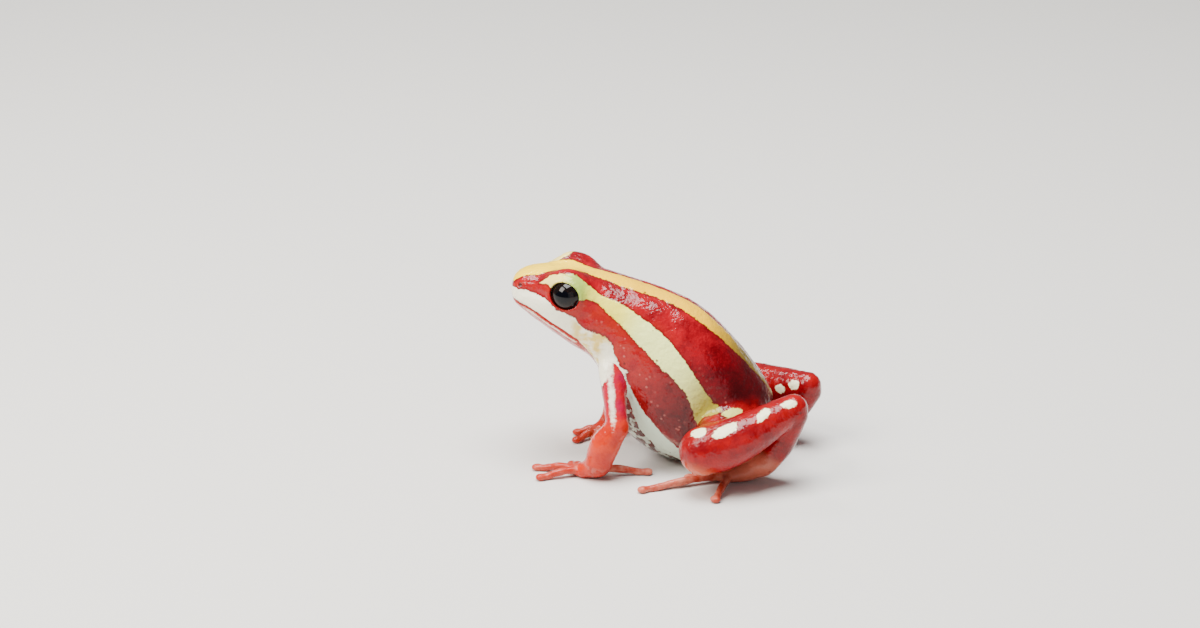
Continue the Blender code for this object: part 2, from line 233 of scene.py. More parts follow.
@dataclass(frozen=True)
class Trunk:
    """Head and body, skinned over oval stations.

    Each station gives the back's ridge and the belly's lowest point (x and z of both) and
    the half width between them.
    """

    stations: Rows = (
        (-12.05, 14.55, -11.95, 13.45, 0.85),
        (-11.70, 15.10, -11.60, 12.80, 1.65),
        (-10.80, 15.60, -10.70, 12.15, 2.35),
        (-9.50, 15.85, -9.40, 11.25, 2.95),
        (-8.00, 15.85, -8.00, 10.30, 3.40),
        (-6.50, 15.82, -6.80, 9.50, 3.65),
        (-5.00, 15.64, -5.60, 8.70, 3.60),
        (-2.95, 15.16, -4.90, 7.70, 3.60),
        (-0.73, 14.50, -4.40, 6.40, 3.80),
        (1.50, 13.72, -3.60, 4.90, 4.10),
        (3.50, 12.57, -2.40, 3.30, 4.40),
        (5.15, 11.06, -0.90, 1.80, 4.50),
        (6.50, 9.50, 0.90, 0.60, 4.40),
        (7.60, 8.10, 3.00, -0.10, 4.00),
        (8.40, 7.00, 5.00, -0.10, 3.40),
        (8.90, 6.00, 6.80, 0.70, 2.60),
        (9.15, 5.20, 8.20, 2.40, 1.60),
        (9.20, 4.70, 9.00, 3.90, 0.60),
    )
    squareness: float = 2.15
    fineness: int = 8
    end_rounding: float = 0.7
    off_middle: float = 1e-4

    def row(self, u: Array) -> Array:
        """The station's five sizes at each u."""
        return smooth_rows(np.array(self.stations), np.asarray(u, float))

    def point(self, u: Array, angle: Array, side: Side) -> Array:
        """Points of the skin.

        Args:
            u: Places along the stations.
            angle: Zero on the back's ridge and pi under the belly.
            side: The frog's left or right.

        Returns:
            One point for each place.
        """
        top_x, top_z, low_x, low_z, wide = np.moveaxis(self.row(u), -1, 0)
        up = power(np.cos(angle), 2 / self.squareness)
        across = wide * power(np.sin(angle), 2 / self.squareness) * side.value
        return np.stack(((top_x + low_x) / 2 + (top_x - low_x) / 2 * up, across,
                         (top_z + low_z) / 2 + (top_z - low_z) / 2 * up), -1)

    def locate(self, x: Array, z: Array) -> dict[str, Array]:
        """Where points of the midline's plane lie among the stations.

        Args:
            x: Places along the frog.
            z: Heights, of a shape that broadcasts with x.

        Returns:
            Station u, height v from -1 to 1, the section's half height and half width, and
            the distances past the first and the last station.
        """
        count = (len(self.stations) - 1) * self.fineness + 1
        rings = self.row(np.linspace(0, len(self.stations) - 1, count))
        shape = np.broadcast(x, z).shape
        index, before, after = (np.full(shape, v) for v in (0.0, 0.0, -1.0))
        reached = np.ones(shape, bool)
        ahead = behind = np.zeros(shape)
        for k, (top_x, top_z, low_x, low_z, _) in enumerate(rings):
            long = math.hypot(top_x - low_x, top_z - low_z)
            past = ((x - top_x) * (top_z - low_z) - (z - top_z) * (top_x - low_x)) / long
            passed = reached & (past >= 0)
            after = np.where(reached & ~passed, past, after)
            index = np.where(passed, k, index)
            before = np.where(passed, past, before)
            reached = passed
            ahead = -past if k == 0 else ahead
            behind = past
        u = np.clip((index + before / (before - after)) / self.fineness, 0, len(self.stations) - 1)
        top_x, top_z, low_x, low_z, wide = np.moveaxis(self.row(u), -1, 0)
        run_x, run_z = top_x - low_x, top_z - low_z
        square = run_x ** 2 + run_z ** 2
        v = 2 * ((x - low_x) * run_x + (z - low_z) * run_z) / square - 1
        return {"u": u, "v": v, "tall": np.sqrt(square) / 2, "wide": wide,
                "ahead": ahead, "behind": behind}

    def distance(self, grid: Grid) -> Array:
        """Distance from the trunk's skin to first order, negative inside.

        Args:
            grid: The places' x, y and z, of shapes that broadcast.

        Returns:
            One distance a place.
        """
        x, y, z = grid
        at = self.locate(x, z)
        n = self.squareness
        v, across = np.abs(at["v"]) + self.off_middle, np.abs(y) / at["wide"] + self.off_middle
        total = v ** n + across ** n
        shrink = total ** (1 / n - 1)
        slope = np.sqrt((v ** (n - 1) * shrink / at["tall"]) ** 2
                        + (across ** (n - 1) * shrink / at["wide"]) ** 2)
        side = (total ** (1 / n) - 1) / slope
        nose = smooth_max(side, at["ahead"], self.end_rounding)
        return smooth_max(nose, at["behind"], self.end_rounding)

    def angle(self, at: dict[str, Array], y: Array) -> Array:
        """The angle round the section, from 0 on the back to pi under the belly."""
        half = self.squareness / 2
        return np.arctan2(power(np.abs(y) / at["wide"], half), power(at["v"], half))


def smooth_min(a: Array, b: Array, blend: float) -> Array:
    """The smaller of two distances, with the crease between them filled over blend."""
    near = np.maximum(blend - np.abs(a - b), 0.0)
    return np.minimum(a, b) - near * near / (4 * blend)


def smooth_max(a: Array, b: Array, blend: float) -> Array:
    """The larger of two distances, with the edge between them rounded over blend."""
    return -smooth_min(-a, -b, blend)


class Clay:
    """A block of distances in millimetres that solids are added to and pressed into.

    A fold has faded out at a few times its width. Points that settle on the surface move by
    a part of a step at most, and flat places count as a little sloped.
    """

    fold_reach = 2.6
    settle_limit = 0.4
    least_slope = 0.05

    def __init__(self, low: Sequence[float], high: Sequence[float], step: float) -> None:
        """Make an empty block.

        Args:
            low: Lowest corner.
            high: Highest corner.
            step: Distance between samples.
        """
        self.low = np.array(low, float)
        self.step = step
        self.shape = tuple(int(math.ceil((b - a) / step)) + 1 for a, b in zip(low, high))
        self.values = np.full(self.shape, FAR, np.float32)

    def window(self, reach: Reach) -> tuple[tuple[slice, ...], list]:
        """The samples between two corners and their coordinates.

        Args:
            reach: Lowest and highest corner.

        Returns:
            The samples' slices, and their x, y and z as arrays that broadcast.
        """
        first = [max(0, int((a - o) / self.step)) for a, o in zip(reach[0], self.low)]
        last = [min(n, int((b - o) / self.step) + 2)
                for b, o, n in zip(reach[1], self.low, self.shape)]
        axes = [(np.arange(a, b) * self.step + o).astype(np.float32)
                for a, b, o in zip(first, last, self.low)]
        grid = [axes[0][:, None, None], axes[1][None, :, None], axes[2][None, None, :]]
        return tuple(slice(a, b) for a, b in zip(first, last)), grid

    def add(self, solid: "Chain | Ball", blend: float, margin: float = 0.6) -> None:
        """Join a solid, with a fillet of about the given size."""
        where, grid = self.window(solid.reach(blend + margin))
        self.values[where] = smooth_min(self.values[where], solid.distance(grid), blend)

    def cut(self, distance: Field, reach: Reach, blend: float) -> None:
        """Take away whatever lies where distance is negative."""
        where, grid = self.window(reach)
        self.values[where] = smooth_max(self.values[where], -distance(grid), blend)

    def raise_along(self, path: Chain, width: float, height: float) -> None:
        """Raise the surface along a path, or press a furrow where height is negative.

        Args:
            path: The path.
            width: How far to each side it reaches.
            height: How high it rises.
        """
        where, grid = self.window(path.reach(self.fold_reach * width))
        gap = np.maximum(path.distance(grid), 0.0)
        self.values[where] -= (height * np.exp(-(gap / width) ** 2)).astype(np.float32)

    def surface(self) -> tuple[Array, Array]:
        """Turn the zero level into a mesh.

        Returns:
            Points in millimetres and quads of indices that face outwards.
        """
        inside = self.values < 0
        count = np.zeros(tuple(n - 1 for n in self.shape), np.int8)
        corners = list(np.ndindex(2, 2, 2))
        for corner in corners:
            count += inside[tuple(slice(c, n - 1 + c) for c, n in zip(corner, self.shape))]
        cells = np.argwhere((count > 0) & (count < len(corners)))
        numbers = np.full(count.shape, -1, np.int32)
        numbers[tuple(cells.T)] = np.arange(len(cells))
        value = {c: self.values[tuple((cells + c).T)] for c in corners}
        total, hits = np.zeros((len(cells), 3)), np.zeros(len(cells))
        unit = np.eye(3, dtype=int)
        for corner in corners:
            for axis in (n for n in range(3) if not corner[n]):
                a, b = value[corner], value[tuple(map(int, corner + unit[axis]))]
                crossed = (a < 0) != (b < 0)
                part = np.where(crossed, a / np.where(crossed, a - b, 1.0), 0.0)
                total += (corner + part[:, None] * unit[axis]) * crossed[:, None]
                hits += crossed
        points = (cells + total / hits[:, None]) * self.step + self.low
        quads = []
        for axis in range(3):
            here, ahead = ([slice(1, n - 1) for n in self.shape] for _ in range(2))
            ahead[axis] = slice(2, self.shape[axis])
            first, second = inside[tuple(here)], inside[tuple(ahead)]
            for found, order in ((first & ~second, 1), (~first & second, -1)):
                base = np.argwhere(found) + 1
                ring = [numbers[tuple((base - i * unit[axis - 2] - j * unit[axis - 1]).T)]
                        for i, j in ((1, 1), (0, 1), (0, 0), (1, 0))]
                quads.append(np.stack(ring[::order], 1))
        return self.settle(points), np.concatenate(quads)

    def settle(self, points: Array, rounds: int = 3) -> Array:
        """Move mesh points onto the zero level of the block.

        Args:
            points: Places in millimetres.
            rounds: How often they are moved.

        Returns:
            The moved points.
        """
        for _ in range(rounds):
            value, slope = self.sample(points)
            square = np.maximum((slope ** 2).sum(1), self.least_slope)
            move = slope * (value / square)[:, None]
            length = np.linalg.norm(move, axis=1)
            limit = np.minimum(1.0, self.settle_limit * self.step / np.maximum(length, TINY))
            points = points - move * limit[:, None]
        return points

    def sample(self, points: Array) -> tuple[Array, Array]:
        """The block's value and slope at points, by blending the eight nearest samples.

        Args:
            points: Places in millimetres.

        Returns:
            One value and one slope a point.
        """
        place = (points - self.low) / self.step
        base = np.clip(place.astype(int), 0, np.array(self.shape) - 2)
        t = place - base
        value = np.zeros(len(points))
        slope = np.zeros((len(points), 3))
        for corner in np.ndindex(2, 2, 2):
            part = self.values[tuple((base + corner).T)].astype(float)
            share = np.where(corner, t, 1 - t)
            value += part * share.prod(axis=1)
            for axis, far in enumerate(corner):
                slope[:, axis] += part * (2 * far - 1) * np.delete(share, axis, 1).prod(axis=1)
        return value, slope / self.step


class Grain:
    """Seeded smooth noise over space, for the skin's granules and creases."""

    def __init__(self, seed: int) -> None:
        """Draw the table of values."""
        self.table = np.random.default_rng(seed).random(4096) * 2 - 1

    def at(self, points: Array, cell: float) -> Array:
        """Noise from -1 to 1 at points, with cells of the given size in millimetres.

        Args:
            points: Places in millimetres.
            cell: The size of a cell.

        Returns:
            One value a point.
        """
        place = points / cell
        base = np.floor(place).astype(np.int64)
        t = place - base
        t = t * t * (3 - 2 * t)
        total = np.zeros(len(points))
        for corner in np.ndindex(2, 2, 2):
            key = base + corner
            mix = (key[:, 0] * 73856093) ^ (key[:, 1] * 19349663) ^ (key[:, 2] * 83492791)
            weight = np.prod(np.where(corner, t, 1 - t), axis=1)
            total += self.table[mix % len(self.table)] * weight
        return total


@dataclass(frozen=True)
class Digits:
    """Fingers or toes: thin, knuckled, with a small disc at each tip.

    Each knuckle gives how far along the digit it lies, its share of the arch and its radius
    over the digit's. The digit lies on the ground from a part of its length on.
    """

    radius: float = 0.3
    disc: Point = (0.42, 0.42, 0.27)
    arch: float = 0.22
    knuckles: Rows = (
        (0.0, 0.0, 1.35), (0.2, 0.6, 1.12), (0.4, 1.0, 0.98), (0.55, 0.9, 1.12), (0.72, 0.5, 0.92),
        (0.86, 0.0, 0.98), (1.0, 0.0, 0.8))
    grounded_from: float = 0.8
    ground_height: float = 0.85
    fillet: float = 0.22
    disc_fillet: float = 0.14

    def build(self, clay: Clay, root: Array, tips: Sequence[Array]) -> list[Chain | Ball]:
        """Add one digit for each tip.

        Args:
            clay: The block to add to.
            root: Where the digits start.
            tips: The middle of each disc.

        Returns:
            The digits' solids.
        """
        made = []
        for tip in tips:
            start, end = np.array(root, float), np.array(tip, float)
            end[2] = self.radius * self.ground_height
            bend = [start + (end - start) * along for along, *_ in self.knuckles]
            for point, (along, share, _) in zip(bend, self.knuckles):
                point[2] = end[2] if along > self.grounded_from else point[2] + self.arch * share
            chain = Chain.through(bend, [self.radius * swell for *_, swell in self.knuckles], per_step=3)
            disc = Ball(end, self.disc)
            clay.add(chain, self.fillet)
            clay.add(disc, self.disc_fillet)
            made += [chain, disc]
        return made


@dataclass(frozen=True)
class Arm:
    """Upper arm, forearm and hand, with y as the distance from the midline.

    Radii and fillets are given for the three in turn.
    """

    side: Side
    shoulder: Point
    mid: Point
    elbow: Point
    muscle: Point
    wrist: Point
    palm: Point
    tips: Rows
    radii: Rows = ((1.1, 0.9, 0.86), (0.86, 1.2, 1.02), (0.98, 0.92))
    fillets: tuple[float, ...] = (0.7, 0.3, 0.35)
    palm_flat: float = 0.65
    finger_drop: float = 0.05

    def build(self, clay: Clay) -> dict[str, list[Chain]]:
        """Add the arm to the clay.

        Args:
            clay: The block to add to.

        Returns:
            The arm's chains by part.
        """
        shoulder, mid, elbow, muscle, wrist, palm = map(self.side.place, (
            self.shoulder, self.mid, self.elbow, self.muscle, self.wrist, self.palm))
        upper = Chain.through((shoulder, mid, elbow), self.radii[0])
        lower = Chain.through((elbow, muscle, wrist), self.radii[1])
        hand = Chain.through((wrist, palm), self.radii[2], flat=self.palm_flat)
        for chain, fillet in zip((upper, lower, hand), self.fillets):
            clay.add(chain, fillet)
        tips = [self.side.place((*tip, 0.0)) for tip in self.tips]
        fingers = Digits().build(clay, palm - (0.0, 0.0, self.finger_drop), tips)
        return {"arm": [upper], "hand": [lower, hand], "digit": fingers}


@dataclass(frozen=True)
class Leg:
    """Thigh, shank, tarsus and foot, folded, with y as the distance from the midline.

    Radii and fillets are given for the four in turn. The spread gives each toe's root,
    outwards from the middle of the sole.
    """

    side: Side
    hip: Point
    thigh: Point
    knee: Point
    calf: Point
    heel: Point
    instep: Point
    ankle: Point
    sole: Point
    tips: Rows = ((4.5, 3.1), (3.4, 3.7), (2.9, 4.7), (-0.45, 7.7), (5.45, 8.8))
    spread: tuple[float, ...] = (-0.5, -0.35, -0.2, 0.0, 0.6)
    radii: Rows = ((1.56, 1.6, 1.35), (1.94, 1.88, 1.14), (1.02, 1.06, 1.08), (1.1, 1.1, 0.85))
    fillets: tuple[float, ...] = (0.8, 0.22, 0.16, 0.4)
    under_heel: Point = (0.15, 0.1, -0.5)
    ball: Point = (-1.6, 0.2, -0.32)
    toe_root: Point = (-1.2, 0.1, -0.32)
    sole_flat: float = 0.72
    toe_arch: float = 0.12

    def build(self, clay: Clay) -> dict[str, list[Chain]]:
        """Add the leg to the clay.

        Args:
            clay: The block to add to.

        Returns:
            The leg's chains by part.
        """
        place = self.side.place
        hip, thigh, knee, calf, heel, instep, ankle, sole = map(place, (
            self.hip, self.thigh, self.knee, self.calf, self.heel, self.instep, self.ankle, self.sole))
        upper = Chain.through((hip, thigh, knee), self.radii[0])
        lower = Chain.through((knee, calf, heel), self.radii[1])
        tarsus = Chain.through((heel + place(self.under_heel), instep, ankle), self.radii[2])
        pad = Chain.through((ankle, sole, sole + place(self.ball)), self.radii[3], flat=self.sole_flat)
        for chain, fillet in zip((upper, lower, tarsus, pad), self.fillets):
            clay.add(chain, fillet)
        toes = []
        for offset, tip in zip(self.spread, self.tips):
            root = sole + place(self.toe_root) + place((0.0, offset, 0.0))
            toes += Digits(arch=self.toe_arch).build(clay, root, [place((*tip, 0.0))])
        return {"thigh": [upper], "leg": [lower], "foot": [tarsus, pad], "instep": [pad], "digit": toes}


ARMS = (
    Arm(Side.LEFT, shoulder=(-3.5, 3.1, 8.4), mid=(-3.15, 4.4, 6.6), elbow=(-2.75, 5.5, 4.5),
        muscle=(-3.75, 5.45, 2.9), wrist=(-4.35, 5.2, 1.15), palm=(-5.4, 4.9, 0.5),
        tips=((-6.7, 3.3), (-9.4, 4.3), (-8.8, 6.3), (-0.5, 4.0))),
    Arm(Side.RIGHT, shoulder=(-3.5, 3.1, 8.4), mid=(-3.4, 4.6, 6.6), elbow=(-3.3, 5.8, 4.5),
        muscle=(-3.9, 5.2, 2.9), wrist=(-4.4, 4.4, 1.15), palm=(-5.2, 3.85, 0.5),
        tips=((-5.6, 2.3), (-7.1, 1.9), (-7.3, 3.6), (-3.9, 6.4))),
)
LEGS = (
    Leg(Side.LEFT, hip=(7.0, 2.2, 4.7), thigh=(5.3, 4.7, 4.3), knee=(4.3, 7.2, 3.62),
        calf=(6.8, 6.6, 4.42), heel=(11.05, 4.2, 6.4), instep=(10.1, 4.15, 3.3),
        ankle=(8.7, 4.1, 1.65), sole=(7.3, 4.1, 0.82)),
    Leg(Side.RIGHT, hip=(7.0, 2.2, 4.6), thigh=(5.6, 4.6, 4.2), knee=(4.5, 7.2, 3.6),
        calf=(7.0, 6.5, 4.05), heel=(11.5, 4.1, 5.15), instep=(10.5, 4.05, 3.0),
        ankle=(8.9, 4.0, 1.6), sole=(7.5, 4.0, 0.82)),
)


@dataclass(frozen=True)
class Face:
    """Brows, lids, mouth, nostrils and eardrums.

    Places on the trunk are a station and an angle. The socket gives how much tighter than
    the eyeball it is, the space round it and the rounding of its edge. A lid line gives how
    far out from the eye's centre it lies and its long and short radius, and the crease runs
    over an arc, in half turns. A fold is a width and a height, which is negative for a
    furrow. The mouth's bow is its angle at the snout, how far it rises and how far it drops.
    A lip line starts with its offset below the mouth and how far it runs past the corner, a
    snout line with its angles at both ends.
    """

    trunk: Trunk
    eye_radius: float = 1.3
    eye_axis: Point = (-0.20, 1.0, 0.16)
    brow_centre: Point = (-7.2, 2.2, 14.35)
    brow_radii: Point = (1.95, 1.45, 2.02)
    brow_fillet: float = 1.1
    lid_radius: float = 1.41
    lid_fillet: float = 0.35
    opening: Pair = (1.2, 1.0)
    opening_tilt: float = 28.0
    opening_depth: float = 0.3
    opening_reach: float = 2.2
    opening_edge: float = 0.2
    socket: Point = (0.02, 0.4, 0.04)
    lid_rim: Point = (0.56, 1.34, 1.15)
    lid_rim_fold: Pair = (0.13, 0.05)
    lid_crease: Point = (0.35, 1.78, 1.66)
    lid_crease_arc: Pair = (0.15, 0.95)
    lid_crease_fold: Pair = (0.13, -0.07)
    mouth_start: float = 0.45
    mouth_bow: Point = (2.02, 0.16, 0.03)
    mouth_corner: float = 5.2
    mouth_front: Point = (-0.1, 0.0, 0.0)
    lip_lines: Rows = ((-0.28, 0.0, 0.26, 0.08), (0.26, 0.0, 0.2, 0.05), (0.0, 0.15, 0.11, -0.26))
    snout_lines: Rows = ((0.88, 0.86, 0.42, 0.12), (1.22, 1.18, 0.42, -0.13))
    snout_line_end: float = 3.4
    nostril: Pair = (1.72, 1.0)
    nostril_run: Point = (0.12, 0.0, -0.05)
    nostril_folds: Rows = ((0.3, 0.07), (0.14, -0.4))
    eardrum: Pair = (5.75, 1.42)
    eardrum_size: Pair = (0.4, 0.16)
    eardrum_rim_fold: Pair = (0.12, 0.035)
    eardrum_fold: Pair = (0.35, -0.06)

    def axes(self, side: Side) -> tuple[Array, Array, Array]:
        """The eye's outward axis and the long and short directions of its opening.

        Args:
            side: The frog's left or right.

        Returns:
            Three unit vectors.
        """
        out = side.place(self.eye_axis)
        out = out / np.linalg.norm(out)
        back = np.array((1.0, 0.0, 0.0)) - out * out[0]
        back /= np.linalg.norm(back)
        up = np.cross(out, back)
        up *= np.sign(up[2])
        turn = math.radians(-self.opening_tilt)
        return (out, back * math.cos(turn) + up * math.sin(turn),
                up * math.cos(turn) - back * math.sin(turn))

    def opening_gap(self, side: Side, grid: Grid) -> Array:
        """Distance from the edge of the eye's opening, seen along the eye's axis.

        Args:
            side: The frog's left or right.
            grid: The places' x, y and z, of shapes that broadcast.

        Returns:
            One distance a place, negative inside.
        """
        out, long, short = self.axes(side)
        a, b, c = (p - q for p, q in zip(grid, side.place(EYE_PLACE)))
        along, across, outward = (a * d[0] + b * d[1] + c * d[2] for d in (long, short, out))
        ring = np.sqrt((along / self.opening[0]) ** 2 + (across / self.opening[1]) ** 2)
        return np.maximum((ring - 1) * min(self.opening), self.opening_depth - outward)

    def mouth_angle(self, u: Array) -> Array:
        """The mouth line's angle at each station."""
        (snout, rise, drop), along = self.mouth_bow, u / self.mouth_corner
        return snout - rise * np.sin(math.pi * along) + drop * along

    def mouth_path(self, offset: float, end: float) -> Chain:
        """The mouth line from one corner round the snout to the other.

        Args:
            offset: How far below the mouth line, in millimetres.
            end: The station of the corners.

        Returns:
            The path.
        """
        u = np.linspace(self.mouth_start, end, 26)
        row = self.trunk.row(u)
        scale = (row[:, 4] + np.hypot(row[:, 0] - row[:, 2], row[:, 1] - row[:, 3]) / 2) / 2
        angle = self.mouth_angle(u) + offset / scale
        right = self.trunk.point(u, angle, Side.RIGHT)[::-1]
        left = self.trunk.point(u, angle, Side.LEFT)
        front = (right[-1] + left[0]) / 2 + self.mouth_front
        return Chain.line(np.vstack((right, front, left)))

    def lid_line(self, side: Side, size: Point, turns: Array) -> Chain:
        """An oval line round the eye.

        Args:
            side: The frog's left or right.
            size: How far out it lies, and its long and short radius.
            turns: The angles of its points.

        Returns:
            The path.
        """
        out, long, short = self.axes(side)
        lift, wide, tall = size
        middle = side.place(EYE_PLACE) + out * lift
        return Chain.line([middle + (long * wide * math.cos(t) + short * tall * math.sin(t))
                           for t in turns])

    def build(self, clay: Clay) -> None:
        """Model the face in the clay.

        Args:
            clay: The block to work in.
        """
        for side in Side:
            centre = side.place(EYE_PLACE)
            clay.add(Ball(side.place(self.brow_centre), self.brow_radii), self.brow_fillet)
            clay.add(Ball(centre, (self.lid_radius,) * 3), self.lid_fillet)
            tight, margin, edge = self.socket
            eyeball = Ball(centre, (self.eye_radius - tight,) * 3)
            clay.cut(eyeball.distance, eyeball.reach(margin), edge)
            reach = (centre - self.opening_reach, centre + self.opening_reach)
            clay.cut(lambda grid, s=side: self.opening_gap(s, grid), reach, self.opening_edge)
            self.build_folds(clay, side)
        for offset, longer, *fold in self.lip_lines:
            clay.raise_along(self.mouth_path(offset, self.mouth_corner + longer), *fold)

    def nostril_point(self, side: Side) -> Array:
        """The middle of a nostril."""
        return self.trunk.point(*(np.array([value]) for value in self.nostril), side)

    def build_folds(self, clay: Clay, side: Side) -> None:
        """Press and raise what lies round one eye: lids, snout ridge, nostril and eardrum.

        Args:
            clay: The block to work in.
            side: The frog's left or right.
        """
        turns = np.linspace(0, 2 * math.pi, 41)
        clay.raise_along(self.lid_line(side, self.lid_rim, turns), *self.lid_rim_fold)
        turns = np.linspace(*self.lid_crease_arc, 24) * math.pi
        clay.raise_along(self.lid_line(side, self.lid_crease, turns), *self.lid_crease_fold)
        u = np.linspace(self.nostril[0] + 0.1, self.snout_line_end, 10)
        for start, end, *fold in self.snout_lines:
            line = self.trunk.point(u, np.linspace(start, end, len(u)), side)
            clay.raise_along(Chain.line(line), *fold)
        nostril = self.nostril_point(side)
        for fold in self.nostril_folds:
            clay.raise_along(Chain.line(np.vstack((nostril, nostril + self.nostril_run))), *fold)
        turns = np.linspace(0, 2 * math.pi, 25)
        (station, angle), (long, high) = self.eardrum, self.eardrum_size
        drum = self.trunk.point(station + long * np.cos(turns), angle + high * np.sin(turns), side)
        clay.raise_along(Chain.line(drum), *self.eardrum_rim_fold)
        middle = self.trunk.point(np.array([station] * 2), np.array([angle] * 2), side)
        clay.raise_along(Chain.line(middle), *self.eardrum_fold)


@dataclass(frozen=True)
class Band:
    """A stripe along the trunk between two edges.

    Each edge is a row of (station, angle) pairs, and start and end bound the stations. The
    upper edge leans by a little on the animal's right, as its two sides aren't quite alike.
    """

    upper: Rows
    lower: Rows
    start: float
    end: float
    right_lean: Rows = ((0.0, 0.0),)
    station_mm: float = 1.3

    def inside(self, u: Array, angle: Array, scale: Array, right: Array) -> Array:
        """How many millimetres each point lies inside the band, negative outside.

        Args:
            u: Each point's station.
            angle: Its angle round the section.
            scale: The section's mean radius there.
            right: Whether it is on the animal's right.

        Returns:
            One distance a point.
        """
        upper, lower, lean = (np.interp(u, *np.transpose(edge))
                              for edge in (self.upper, self.lower, self.right_lean))
        upper = upper + np.where(right, lean, 0.0)
        across = np.minimum(angle - upper, lower - angle) * scale
        return np.minimum(across, np.minimum(u - self.start, self.end - u) * self.station_mm)


@dataclass(frozen=True)
class Spot:
    """An oval patch on a limb: its middle, long radius, short radius and the way it runs."""

    middle: Point
    long: float
    short: float
    run: Point

    def inside(self, points: Array, side: Side) -> Array:
        """How many millimetres each point lies inside the spot, negative outside.

        Args:
            points: Places in millimetres.
            side: The frog's left or right.

        Returns:
            One distance a point.
        """
        run = side.place(self.run)
        run = run / np.linalg.norm(run)
        off = points - side.place(self.middle)
        along = off @ run
        across = np.linalg.norm(off - along[:, None] * run, axis=1)
        return (1 - np.sqrt((along / self.long) ** 2 + (across / self.short) ** 2)) * self.short


@dataclass(frozen=True)
class Rise:
    """A smooth rise from nothing to full between two values of a measure, marking or pattern.

    Args:
        of: The name of what it runs over.
        start: The value where the rise starts, which is the higher one for a fall.
        end: The value where it is full.
        wavy: Whether small waves shift it, as they do the edges of a frog's stripes.
    """

    of: str
    start: float
    end: float
    wavy: bool = False

    @staticmethod
    def edge(of: str, soft: float = 0.045) -> "Rise":
        """A marking's wavy edge, with its softness to each side in millimetres."""
        return Rise(of, -soft, soft, wavy=True)

    def at(self, values: dict[str, Array]) -> Array:
        """How full the rise is at each point."""
        return ramp(values[self.of], self.start, self.end)


